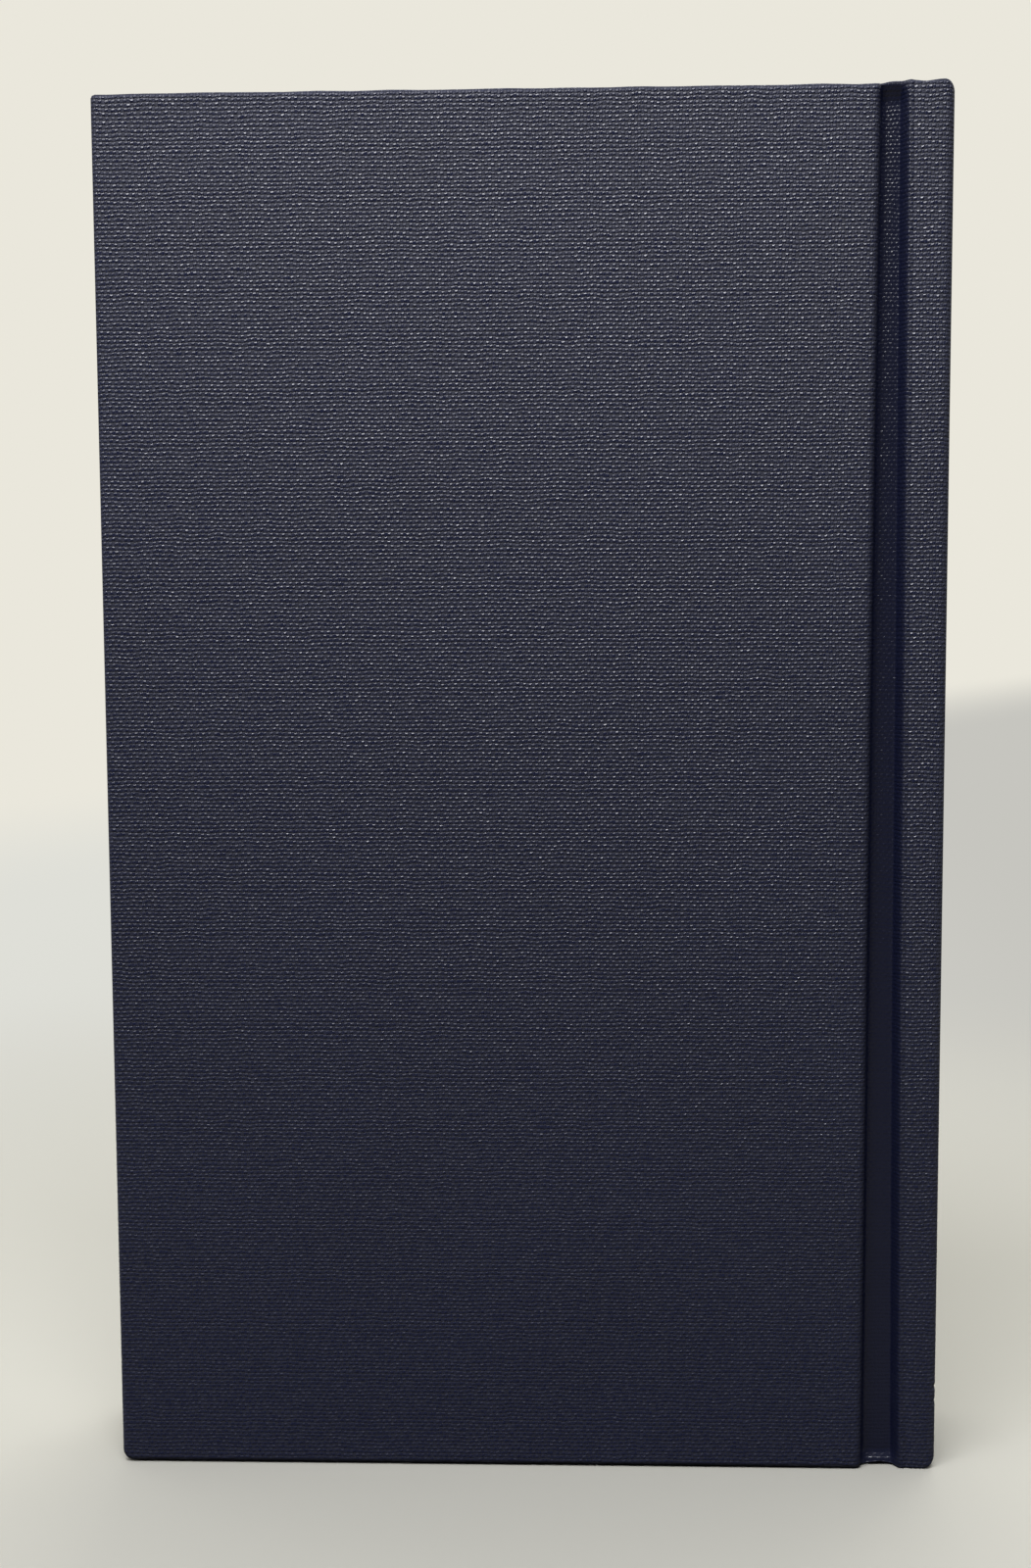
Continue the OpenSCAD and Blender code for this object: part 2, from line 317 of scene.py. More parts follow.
    def relief(self, tree: bpy.types.NodeTree, flat: bpy.types.Node, height: bpy.types.Node,
               ironing: bpy.types.NodeSocket) -> bpy.types.Node:
        """Turns the weave's height into bumps, lower where the iron or the filler has smoothed it.

        Args:
            tree: The material's tree.
            flat: The sheet's coordinates in millimetres.
            height: The weave's height.
            ironing: How far the joint iron has pressed the cloth.

        Returns:
            The bump node.
        """
        pressed = add_node(tree, "ShaderNodeMapRange", ironing, 0.0, 1.0, 1.0, self.ironed_relief)
        up = add_node(tree, "ShaderNodeSeparateXYZ", flat).outputs[1]
        filled = add_node(tree, "ShaderNodeMapRange", up, 0.0, self.filled_height, self.filled_relief, 1.0)
        left = add_node(tree, "ShaderNodeMath", pressed, filled, operation="MULTIPLY")
        relief = add_node(tree, "ShaderNodeMath", height, left, operation="MULTIPLY")
        return add_node(tree, "ShaderNodeBump", named={
            "Strength": 1.0, "Distance": self.crown_height * MM, "Height": relief})


@dataclass(frozen=True)
class WovePaper:
    """Uncoated wove paper: matt and faintly mottled, with short fibres that a raking light picks out."""

    tone: str = "#efe8d6"
    shade: str = "#ebe4d1"
    cloud_size: float = 3.333
    fibre_length: float = 1.6
    fibre_height: float = 0.03

    def build(self) -> bpy.types.Material:
        """Makes the paper's material.

        Returns:
            The new material.
        """
        material, tree = new_material("wove_paper")
        flat = add_node(tree, "ShaderNodeUVMap", uv_map=SHEET_MAP)
        cloud = add_node(tree, "ShaderNodeTexNoise", flat, named={
            "Scale": 1 / self.cloud_size, "Detail": 5.0})
        clear = add_node(tree, "ShaderNodeMapRange", cloud, 0.35, 0.65, 0.0, 1.0)
        colour = add_node(tree, "ShaderNodeMix", clear, data_type="RGBA",
                          named={6: linear(self.shade), 7: linear(self.tone)})
        fibre = add_node(tree, "ShaderNodeTexNoise", flat, named={
            "Scale": 1 / self.fibre_length, "Detail": 6.0, "Distortion": 1.2})
        bump = add_node(tree, "ShaderNodeBump", named={
            "Strength": 0.6, "Distance": self.fibre_height * MM, "Height": fibre})
        add_node(tree, "ShaderNodeOutputMaterial", add_node(tree, "ShaderNodeBsdfPrincipled", named={
            "Base Color": colour.outputs[2], "Roughness": 0.86, "IOR": 1.45, "Normal": bump}))
        return material


@dataclass(frozen=True)
class CutLeaves:
    """Guillotined leaf edges: cream paper whose cut edges read as fine lines, tone by tone.

    A leaf of 0.12 mm is too fine to show from afar, so neighbours differ enough in tone for lines of
    several leaves to read, and each leaf's tone drifts along its cut.
    """

    tone: str = "#eadfc6"
    gap: str = "#b3a68a"
    # A streak of one tone takes up this many leaves, and this length in millimetres
    streak_leaves: float = 2.0
    streak_length: float = 40.0
    cut_depth: float = 0.06

    def build(self) -> bpy.types.Material:
        """Makes the material of the block's cut edges.

        Returns:
            The new material.
        """
        material, tree = new_material("cut_leaf_edges")
        count = add_node(tree, "ShaderNodeSeparateXYZ", add_node(tree, "ShaderNodeUVMap", uv_map=LEAF_MAP))
        leaf = add_node(tree, "ShaderNodeTexWhiteNoise", noise_dimensions="1D", named={
            "W": add_node(tree, "ShaderNodeMath", count, operation="FLOOR")})
        along = add_node(tree, "ShaderNodeMath", count.outputs[1], self.streak_leaves / self.streak_length,
                         operation="MULTIPLY")
        run = add_node(tree, "ShaderNodeCombineXYZ", count, along)
        streak = add_node(tree, "ShaderNodeTexNoise", run, named={
            "Scale": 1 / self.streak_leaves, "Detail": 3.0})
        share = add_node(tree, "ShaderNodeMath", leaf, streak, operation="MULTIPLY")
        clean = add_node(tree, "ShaderNodeMapRange", share, 0.02, 0.22, 0.0, 1.0)
        colour = add_node(tree, "ShaderNodeMix", clean, data_type="RGBA",
                          named={6: linear(self.gap), 7: linear(self.tone)})
        bump = add_node(tree, "ShaderNodeBump", named={
            "Strength": 0.8, "Distance": self.cut_depth * MM, "Height": share})
        add_node(tree, "ShaderNodeOutputMaterial", add_node(tree, "ShaderNodeBsdfPrincipled", named={
            "Base Color": colour.outputs[2], "Roughness": 0.9, "IOR": 1.45, "Normal": bump}))
        return material


@dataclass(frozen=True)
class PressedBoard:
    """Greyboard and kraft: pressed from waste pulp, flecked with darker and lighter fibres."""

    name: str
    tone: str
    fleck: str
    fleck_size: float = 0.6
    fleck_height: float = 0.05

    def build(self) -> bpy.types.Material:
        """Makes the board's material, in the object's own millimetres.

        Returns:
            The new material.
        """
        material, tree = new_material(self.name)
        place = add_node(tree, "ShaderNodeTexCoord")
        pulp = add_node(tree, "ShaderNodeTexNoise", place.outputs["Object"], named={
            "Scale": 1 / (self.fleck_size * MM), "Detail": 5.0, "Distortion": 0.8})
        pale = add_node(tree, "ShaderNodeMapRange", pulp, 0.42, 0.58, 0.0, 1.0)
        colour = add_node(tree, "ShaderNodeMix", pale, data_type="RGBA",
                          named={6: linear(self.fleck), 7: linear(self.tone)})
        bump = add_node(tree, "ShaderNodeBump", named={
            "Strength": 0.5, "Distance": self.fleck_height * MM, "Height": pulp})
        add_node(tree, "ShaderNodeOutputMaterial", add_node(tree, "ShaderNodeBsdfPrincipled", named={
            "Base Color": colour.outputs[2], "Roughness": 0.9, "IOR": 1.45, "Normal": bump}))
        return material


@dataclass(frozen=True)
class Gauze:
    """Mull: open cotton gauze stiffened with size, threads about 1 mm apart with glue between."""

    thread: str = "#e2dac4"
    glue: str = "#b9ab8c"
    thread_pitch: float = 1.0
    thread_height: float = 0.1

    def build(self) -> bpy.types.Material:
        """Makes the gauze's material.

        Returns:
            The new material.
        """
        material, tree = new_material("cotton_mull")
        flat = add_node(tree, "ShaderNodeUVMap", uv_map=SHEET_MAP)
        turns = add_node(tree, "ShaderNodeVectorMath", flat, (2 * math.pi / self.thread_pitch,) * 3,
                         operation="MULTIPLY")
        wave = add_node(tree, "ShaderNodeSeparateXYZ",
                        add_node(tree, "ShaderNodeVectorMath", turns, operation="COSINE"))
        net = add_node(tree, "ShaderNodeMath", wave.outputs[0], wave.outputs[1], operation="MAXIMUM")
        thread = add_node(tree, "ShaderNodeMapRange", net, 0.45, 0.75, 0.0, 1.0)
        colour = add_node(tree, "ShaderNodeMix", thread, data_type="RGBA",
                          named={6: linear(self.glue), 7: linear(self.thread)})
        bump = add_node(tree, "ShaderNodeBump", named={
            "Strength": 0.8, "Distance": self.thread_height * MM, "Height": net})
        add_node(tree, "ShaderNodeOutputMaterial", add_node(tree, "ShaderNodeBsdfPrincipled", named={
            "Base Color": colour.outputs[2], "Roughness": 0.85, "Normal": bump}))
        return material


@dataclass(frozen=True)
class WoundCotton:
    """Mercerised cotton thread wound over a core, in stripes of two dyed turns and two natural."""

    dyed: str = "#2c3550"
    natural: str = "#e9e0c8"
    turns_a_stripe: float = 2.0
    strands_a_turn: float = 6.0
    strand_height: float = 0.05

    def build(self) -> bpy.types.Material:
        """Makes the bands' material.

        Returns:
            The new material.
        """
        material, tree = new_material("wound_cotton")
        turn = add_node(tree, "ShaderNodeSeparateXYZ", add_node(tree, "ShaderNodeUVMap", uv_map=THREAD_MAP))
        stripe = add_node(tree, "ShaderNodeMath", turn, 2 * self.turns_a_stripe, operation="FLOORED_MODULO")
        dyed = add_node(tree, "ShaderNodeMath", stripe, self.turns_a_stripe, operation="LESS_THAN")
        colour = add_node(tree, "ShaderNodeMix", dyed, data_type="RGBA",
                          named={6: linear(self.natural), 7: linear(self.dyed)})
        ply = add_node(tree, "ShaderNodeCombineXYZ",
                       add_node(tree, "ShaderNodeMath", turn, self.strands_a_turn, operation="MULTIPLY"),
                       turn.outputs[1])
        strand = add_node(tree, "ShaderNodeTexNoise", ply, named={"Scale": 1.4, "Detail": 3.0})
        bump = add_node(tree, "ShaderNodeBump", named={
            "Strength": 0.7, "Distance": self.strand_height * MM, "Height": strand})
        add_node(tree, "ShaderNodeOutputMaterial", add_node(tree, "ShaderNodeBsdfPrincipled", named={
            "Base Color": colour.outputs[2], "Roughness": 0.55, "Normal": bump}))
        return material


def smooth(t: np.ndarray) -> np.ndarray:
    """Smoothstep of t, clipped to 0 and 1."""
    t = np.clip(t, 0, 1)
    return t * t * (3 - 2 * t)


class MeshParts:
    """Collects points, faces and the flat coordinates at each face's corners, in millimetres."""

    def __init__(self, *maps: str) -> None:
        """Starts an empty mesh.

        Args:
            maps: Names of the maps that hold its flat coordinates.
        """
        self.points: list[np.ndarray] = []
        self.faces: list[tuple[int, ...]] = []
        self.maps: dict[str, list[np.ndarray]] = {name: [] for name in maps}
        self.count = 0

    def add_points(self, points: np.ndarray) -> np.ndarray:
        """Adds a grid of points.

        Args:
            points: The points, with their three coordinates last.

        Returns:
            The grid of their numbers.
        """
        shape = points.shape[:-1]
        self.points.append(points.reshape(-1, 3))
        numbers = np.arange(self.count, self.count + int(np.prod(shape))).reshape(shape)
        self.count += numbers.size
        return numbers

    def add_quads(self, numbers: np.ndarray, flip: bool, **maps: np.ndarray) -> None:
        """Adds the quads of a grid of point numbers.

        Args:
            numbers: Point numbers in rows and columns.
            flip: Whether the faces look the other way.
            maps: For each map, the grid of its two coordinates at the same points.
        """
        def corners(grid: np.ndarray) -> np.ndarray:
            """Picks the four corners of every cell, in the faces' order.

            Args:
                grid: A value at each point.

            Returns:
                The values, with the four corners second.
            """
            ring = [grid[:-1, :-1], grid[:-1, 1:], grid[1:, 1:], grid[1:, :-1]]
            ring = ring[::-1] if flip else ring
            return np.stack([part.reshape(-1, *grid.shape[2:]) for part in ring], axis=1)

        self.faces.extend(map(tuple, corners(numbers).tolist()))
        for name, grid in maps.items():
            self.maps[name].append(corners(grid).reshape(-1, 2))

    def build(self, name: str, thickness: float = 0.0, weld: float = 0.0,
              crease: float = 50.0) -> bpy.types.Object:
        """Makes the object in metres.

        Args:
            name: The object's name.
            thickness: How far a sheet is thickened against its faces' normals.
            weld: Distance within which points are joined.
            crease: Angle in degrees from which an edge stays sharp.

        Returns:
            The new object, with no modifier left.
        """
        mesh = bpy.data.meshes.new(name)
        mesh.from_pydata(np.concatenate(self.points) * MM, [], self.faces)
        for key, parts in self.maps.items():
            layer = mesh.uv_layers.new(name=key)
            layer.data.foreach_set("uv", np.concatenate(parts).astype(np.float32).ravel())
        piece = bpy.data.objects.new(name, mesh)
        bpy.context.scene.collection.objects.link(piece)
        if thickness:
            shell = piece.modifiers.new("thickness", "SOLIDIFY")
            shell.thickness = thickness * MM
            shell.offset = -1.0
        if weld:
            piece.modifiers.new("weld", "WELD").merge_threshold = weld * MM
        if piece.modifiers:
            bpy.context.view_layer.update()
            evaluated = piece.evaluated_get(bpy.context.evaluated_depsgraph_get())
            piece.data = bpy.data.meshes.new_from_object(evaluated)
            piece.modifiers.clear()
            bpy.data.meshes.remove(mesh)
        piece.data.shade_smooth()
        piece.data.set_sharp_from_angle(angle=math.radians(crease))
        return piece


def dress(piece: bpy.types.Object, material: bpy.types.Material) -> None:
    """Gives a piece its material.

    Args:
        piece: The piece.
        material: Its material.
    """
    piece.data.materials.clear()
    piece.data.materials.append(material)


@dataclass(frozen=True)
class Layout:
    """Sizes of the book in millimetres, the same as in the part's source, and the joint's shift."""

    x_fore: float = -55.0
    x_edge: float = 45.4
    x_foot: float = 48.6
    x_back: float = 55.0
    x_leaf: float = -52.0
    x_block_out: float = 52.4
    cover_h: float = 181.5
    spine_h: float = 182.0
    turn_in: float = 15.0
    cloth_t: float = 0.4
    paper_t: float = 0.15
    y_block: float = 7.2
    y_paste: float = 7.45
    y_turn: float = 7.6
    y_floor: float = 8.4
    y_shoulder: float = 10.25
    y_block_shoulder: float = 9.35
    y_out: float = 10.6
    z_leaf_0: float = 3.0
    z_leaf_1: float = 178.5
    slope_run: float = 1.2 / 1.85
    corner_shift: float = math.tan(math.radians(28.5))
    # The mull: where its wing begins on the board, and its two ends
    x_wing: float = 20.4
    z_mull: tuple[float, float] = (16.5, 165.0)
    # The groove isn't quite parallel to the spine: how far the layers under it lie off at these heights
    joint_z: tuple[float, ...] = (0.0, 8.0, 35.0, 70.0, 110.0, 150.0, 182.0)
    joint_shift: tuple[float, ...] = (0.55, 0.45, 0.22, 0.05, 0.0, 0.0, 0.0)
    # Where along the width that shift comes in and goes out, and over what distance
    shift_in: tuple[float, float] = (47.2, 1.2)
    shift_out: tuple[float, float] = (50.8, 1.4)

    def foot(self, depth: float) -> float:
        """Foot of the shoulder's slope for a layer at that depth under the cloth's face."""
        return self.x_foot + depth * self.corner_shift

    def slope(self, depth: float, y: float) -> float:
        """Place on that layer's slope at the level y."""
        return self.foot(depth) + (y - (self.y_floor - depth)) * self.slope_run

    def warp(self, x: np.ndarray, z: np.ndarray) -> np.ndarray:
        """X of a layer's points once the joint is shifted at their heights."""
        begun, over = (smooth((x - place) / width) for place, width in (self.shift_in, self.shift_out))
        return x + np.interp(z, self.joint_z, self.joint_shift) * begun * (1 - over)


def bend_joint(piece: bpy.types.Object) -> None:
    """Bakes a sheet's placement into its mesh.

    Args:
        piece: The sheet.
    """
    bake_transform(piece)


def sheet_along(name: str, layout: Layout, side: Side, path: np.ndarray, z: np.ndarray,
                thickness: float, flip: bool,
                sink: Callable[[np.ndarray, np.ndarray], np.ndarray] | None = None) -> bpy.types.Object:
    """Makes a sheet that follows a path in the book's section.

    Args:
        name: The piece's name.
        layout: The book's sizes.
        side: The half of the case that it lies in.
        path: X and Y of the face that is drawn, toward the spine.
        z: Heights of its rows.
        thickness: How far it is thickened against its faces' normals.
        flip: Whether the faces look the other way.
        sink: Gives how far the sheet sinks away from the block at X and Z.

    Returns:
        The sheet as an object.
    """
    shape = (len(z), len(path))
    x, y = (np.broadcast_to(path[None, :, axis], shape) for axis in (0, 1))
    height = np.broadcast_to(z[:, None], shape)
    if sink:
        y = y + sink(x, height)
    run = np.concatenate([[0], np.cumsum(np.linalg.norm(np.diff(path, axis=0), axis=1))])
    parts = MeshParts(SHEET_MAP)
    numbers = parts.add_points(np.stack([layout.warp(x, height), side.value * y, height], axis=2))
    parts.add_quads(numbers, flip, **{SHEET_MAP: np.stack([np.broadcast_to(run, shape), height], axis=2)})
    return parts.build(name, thickness=thickness)


class Rim(Enum):
    """The three free sides of a half of the cloth."""

    TAIL = auto()
    FORE = auto()
    HEAD = auto()


class Fold(Enum):
    """Stages of the fold around a free side, with how worn the cloth is on each."""

    FACE = ("face", 0.0)
    OUTER = ("outer rounding", 1.0)
    END = ("end", 1.0)
    INNER = ("inner rounding", 0.7)
    TURN_IN = ("turn-in", 0.0)


@dataclass(frozen=True)
class Section:
    """The case's section at one of its ends, point by point.

    It holds the outer points and the turn-in's points behind them, the directions from each into the
    cloth's thickness, the fold's radius, and how far the end rises off the groove's floor.
    """

    outer: np.ndarray
    inner: np.ndarray
    inward: np.ndarray
    inner_inward: np.ndarray
    radius: np.ndarray
    rise: np.ndarray


@dataclass
class CaseCloth:
    """Half of the case's covering cloth: one sheet from the spine's middle over a board and around it.

    The sheet is a grid over the outer faces, with rings of fold stages around its free sides that
    carry it over the boards' edges and 15 mm in along the inner faces, mitred at the corners. The
    ends are as uneven as the photograph shows them. Pairs hold the tail's value, then the head's.
    """

    layout: Layout
    side: Side
    edge_r: float = 0.95
    end_r: float = 0.55
    double_r: float = 0.34
    back_r: float = 0.5
    groove_r: float = 1.0
    spine_r: float = 1.15
    cap_r: tuple[float, float] = (1.7, 1.35)
    corner_r: tuple[float, float] = (1.5, 0.6)
    # Inset over which the ends' unevenness fades out
    frame_w: float = 2.0
    # The points that fan around a board's corner: their number on each side, and how far they reach
    zone: int = 7
    zone_w: float = 3.0
    grid_step: float = 2.2
    row_count: int = 56
    # The board's face follows its edge's shift from this X on
    shift_x: float = 25.0
    # At the layout's heights along the joint: the board's edge, the crest and the valley behind it
    edge_shift: tuple[float, ...] = (-0.28, -0.26, -0.22, -0.18, -0.1, 0.1, 0.25)
    crest_x: tuple[float, ...] = (50.3, 50.2, 49.95, 49.7, 49.6, 49.45, 49.3)
    slope_w: float = 1.15
    floor_swell: float = 0.05
    valley: tuple[float, ...] = (0.16, 0.14, 0.1, 0.1, 0.1, 0.1, 0.12)
    valley_w: tuple[float, ...] = (1.8, 1.6, 1.1, 1.0, 1.0, 1.0, 1.1)
    # The iron stops short of both ends, so the groove's floor rises there
    end_lift: tuple[float, float] = (0.4, 0.5)
    # Columns on the edge's rounding, the wall, the fillet, the groove, the slope, the ridge, the spine's
    # rounding and half of its back
    spans: tuple[int, ...] = (6, 3, 5, 7, 10, 14, 6, 8)
    sheet_t: float = 0.32
    # The turn-in inside the spine: how far it lies inside the back, and the radius of its corner
    spine_gap: float = 1.2
    inner_r: float = 0.35
    # How far the mitred corners' seams sink where the two turn-ins meet
    mitre_dip: float = 0.12
    # How far the cloth's two ends lie inside the spine's height, along the width
    tail_x: tuple[float, ...] = (-55, -30, 0, 20, 38, 43, 45.4, 47.9, 49.5, 50.8, 53.0, 55)
    tail_z: tuple[float, ...] = (0.2, 0.24, 0.25, 0.25, 0.18, 0.12, 0.08, 0.46, 0.12, 0.0, 0.05, 0.0)
    head_x: tuple[float, ...] = (-55, -52, -45, -30, 45.0, 45.4, 46.9, 49.5, 51.2, 53.2, 55)
    head_z: tuple[float, ...] = (0.55, 0.53, 0.48, 0.5, 0.5, 0.42, 0.0, 0.0, 0.26, 0.0, 0.02)
    # Lumps of the ends over the board: where they end, their height and the lengths of their waves
    lump_x: float = 44.5
    lump_h: tuple[float, float] = (0.012, 0.03)
    lump_spans: tuple[float, ...] = (8.0, 10.6, 13.1, 19.0)
    lump_seeds: tuple[int, int] = (11, 7)
    # Nicks in the spine's edge: the height and depth of each, how wide they are, the X and Y from which
    # they bite with the distance over which they begin, and closer rows there
    nicks: tuple[tuple[float, float], ...] = ((9.3, 0.16), (11.2, 0.2))
    nick_w: float = 0.22
    nick_x: tuple[float, float] = (54.4, 0.4)
    nick_y: tuple[float, float] = (8.0, 1.2)
    nick_rows: tuple[float, ...] = (
        8.6, 9.0, 9.15, 9.3, 9.45, 9.6, 10.2, 10.8, 11.05, 11.2, 11.35, 11.6, 12.2)

    def heights(self) -> np.ndarray:
        """Spaces the outer grid's rows, closer at its ends and at the nicks.

        Returns:
            The rows' heights, from the tail's frame to the head's.
        """
        low, high = self.frame_w, self.layout.cover_h - self.frame_w
        ends = np.linspace(0, self.zone_w - self.frame_w, self.zone + 1)
        clear = (self.nick_rows[0] - 0.4, self.nick_rows[-1] + 0.4)
        middle = [z for z in np.linspace(low + 2, high - 2, self.row_count) if not clear[0] < z < clear[1]]
        return np.concatenate([low + ends, np.sort(np.array([*middle, *self.nick_rows])), high - ends[::-1]])

    def end_line(self, x: np.ndarray, head: bool) -> np.ndarray:
        """Gives the uneven line of an end, with the capped corner at the spine.

        Args:
            x: Places along the width.
            head: Whether it is the head.

        Returns:
            How far the cloth's end lies inside the spine's height there.
        """
        places, depths = (self.head_x, self.head_z) if head else (self.tail_x, self.tail_z)
        fine = np.linspace(places[0], places[-1], 441)
        coarse = np.interp(fine, places, depths)
        soft = np.convolve(np.pad(coarse, 2, mode="edge"), np.ones(5) / 5, mode="valid")
        rng = np.random.default_rng(self.lump_seeds[int(head)])
        lumps = sum(rng.uniform(0.5, 1) * np.sin(2 * math.pi * fine / span + rng.uniform(0, 6.3))
                    for span in self.lump_spans)
        board = np.clip((self.lump_x - fine) / 2, 0, 1)
        depth = soft + self.lump_h[int(head)] * lumps * board
        radius = self.cap_r[int(head)]
        over = np.clip(x - (self.layout.x_back - radius), 0, radius)
        cap = radius - np.sqrt(np.maximum(radius ** 2 - over ** 2, 0))
        return np.maximum(np.interp(x, fine, depth), 0) + cap

    def outer_path(self, z: np.ndarray) -> tuple[np.ndarray, np.ndarray]:
        """Points of the outer face beyond the board's flat, at each height.

        Args:
            z: The rows' heights.

        Returns:
            X and Y, each with a row for each height.
        """
        k = self.layout
        col = z[:, None]
        flat = 0 * col
        edge = k.x_edge + np.interp(col, k.joint_z, self.edge_shift)
        crest = np.interp(col, k.joint_z, self.crest_x)
        foot = crest - self.slope_w
        dip, wide = (np.interp(col, k.joint_z, values) for values in (self.valley, self.valley_w))
        around, wall, fillet, groove, slope, ridge, bend, back = (
            np.linspace(0, 1, n + 1)[None, 1:] for n in self.spans)
        quarter = math.pi / 2
        low, top = k.y_floor, k.y_shoulder
        wall_top, floor_x = k.y_out - self.edge_r, edge + self.groove_r
        side_x = k.x_back - self.spine_r
        # Closer columns toward the crest
        ridge_x = crest + (side_x - crest) * ridge ** 1.7
        stretches = (
            (edge - self.edge_r * (1 - np.sin(around * quarter)),
             k.y_out - self.edge_r * (1 - np.cos(around * quarter)) + flat),
            (edge + 0 * wall, wall_top + (low + self.groove_r - wall_top) * wall + flat),
            (edge + self.groove_r * (1 - np.cos(fillet * quarter)),
             low + self.groove_r * (1 - np.sin(fillet * quarter)) + flat),
            (floor_x + (foot - floor_x) * groove, low + self.floor_swell * np.sin(math.pi * groove) + flat),
            (foot + (crest - foot) * slope, low + (top - low) * smooth(slope) + flat),
            (ridge_x, top - dip * np.exp(-(((ridge_x - crest) / wide - 0.5) / 0.27) ** 2)),
            (side_x + self.spine_r * np.sin(bend * quarter) + flat,
             top - self.spine_r * (1 - np.cos(bend * quarter)) + flat),
            (k.x_back + 0 * back + flat, (top - self.spine_r) * (1 - back) + flat))
        x, y = (np.concatenate(parts, axis=1) for parts in zip(*stretches))
        for height, depth in self.nicks:
            bite = depth * np.exp(-(((col - height) / self.nick_w) ** 2))
            for line, (place, width) in ((x, self.nick_x), (y, self.nick_y)):
                bite = bite * smooth((line - place) / width)
            x = x - bite
        return x, y

    def inner_path(self, x: np.ndarray, y: np.ndarray) -> tuple[np.ndarray, np.ndarray, np.ndarray]:
        """The turn-in's free face behind each outer point, and the radius of the fold between them.

        Args:
            x: Outer X of the columns beyond the board's flat, at one height.
            y: Outer Y of the same.

        Returns:
            Inner X, inner Y and the fold's radius.
        """
        k = self.layout
        ends = np.cumsum(self.spans)
        double = 2 * k.cloth_t
        inner_x, inner_y = x.copy(), y - double
        radius = np.full_like(x, self.double_r)
        edge = slice(0, ends[2])
        share = np.linspace(0, 1, ends[2] + 1)[1:]
        start, end = x[ends[0] - 1] - self.edge_r, x[ends[2] - 1]
        inner_x[edge], inner_y[edge] = start + (end - start) * share, k.y_turn
        radius[edge] += (self.end_r - self.double_r) * (1 - smooth((share - 0.3) / 0.35))
        rise, floor = slice(ends[2], ends[4]), slice(ends[2] - 1, ends[3])
        part = (x[rise] - x[floor][0]) / (x[floor][-1] - x[floor][0])
        inner_x[rise] += double * k.corner_shift * smooth(part)
        inside = k.x_back - double - self.spine_gap
        ridge = slice(ends[4], ends[5])
        part = (x[ridge] - x[ends[4] - 1]) / (x[ends[5] - 1] - x[ends[4] - 1])
        inner_x[ridge] = inner_x[ends[4] - 1] + (inside - self.inner_r - inner_x[ends[4] - 1]) * part
        turn = np.linspace(0, math.pi / 2, self.spans[6] + 1)[1:]
        bend, back = slice(ends[5], ends[6]), slice(ends[6], None)
        inner_x[bend] = inside - self.inner_r * (1 - np.sin(turn))
        inner_y[bend] = k.y_shoulder - double - self.inner_r * (1 - np.cos(turn))
        radius[bend] += (self.back_r - self.double_r) * np.sin(turn)
        inner_x[back], radius[back] = inside, self.back_r
        inner_y[back] = inner_y[ends[6] - 1] * y[back] / y[ends[6] - 1]
        return inner_x, inner_y, radius

    def corner(self, inset: float, radius: float) -> np.ndarray:
        """Spaces points around a board corner.

        Args:
            inset: How far inside the board's sides they lie.
            radius: The corner's radius at no inset.

        Returns:
            Their distances from the corner's two sides.
        """
        reach = max(self.zone_w, inset + 1)
        r = max(radius - inset, 0.0)
        line = reach - inset - r
        arc = r * math.pi / 2
        at = np.linspace(0, 2 * line + arc, 2 * self.zone + 1)
        turn = np.clip((at - line) / max(r, 1e-9), 0, math.pi / 2)
        first = np.where(at <= line, reach - at, inset + r * (1 - np.sin(turn)))
        second = np.where(at < line + arc, inset + r * (1 - np.cos(turn)), inset + r + (at - line - arc))
        return np.stack([first, second], axis=1)

    def profile(self) -> list[tuple[float, Fold]]:
        """Lists the fold's stages.

        Returns:
            For each its kind, and its inset, its angle or its share of the way. A face's negative
            inset stands for the fold's own radius.
        """
        return [*((inset, Fold.FACE) for inset in (1.4, 0.9, -1.0)),
                *((math.radians(angle), Fold.OUTER) for angle in (22.5, 45, 67.5, 90)),
                *((share, Fold.END) for share in (0.34, 0.67, 1.0)),
                *((math.radians(angle), Fold.INNER) for angle in (67.5, 45, 22.5, 0)),
                *((inset, Fold.TURN_IN) for inset in (1.2, 2.0, 3.5, 6.0, 9.0, 12.0, self.layout.turn_in))]

    def folded(self, stage: tuple[float, Fold], at: Section) -> tuple[np.ndarray, np.ndarray]:
        """Carries a section's points to one stage of the fold.

        Args:
            stage: The stage's value and kind.
            at: The section.

        Returns:
            The points in the section, and their insets from the end.
        """
        value, kind = stage
        r = at.radius[:, None]
        if kind is Fold.FACE:
            return at.outer.copy(), at.radius.copy() if value < 0 else np.maximum(value, at.radius)
        if kind is Fold.OUTER:
            return at.outer + at.inward * r * (1 - math.cos(value)), at.radius * (1 - math.sin(value))
        if kind is Fold.END:
            first, last = at.outer + at.inward * r, at.inner + at.inner_inward * r
            return first + (last - first) * value, 0 * at.radius
        if kind is Fold.INNER:
            return at.inner + at.inner_inward * r * (1 - math.cos(value)), at.radius * (1 - math.sin(value))
        return at.inner.copy(), value + 0 * at.radius

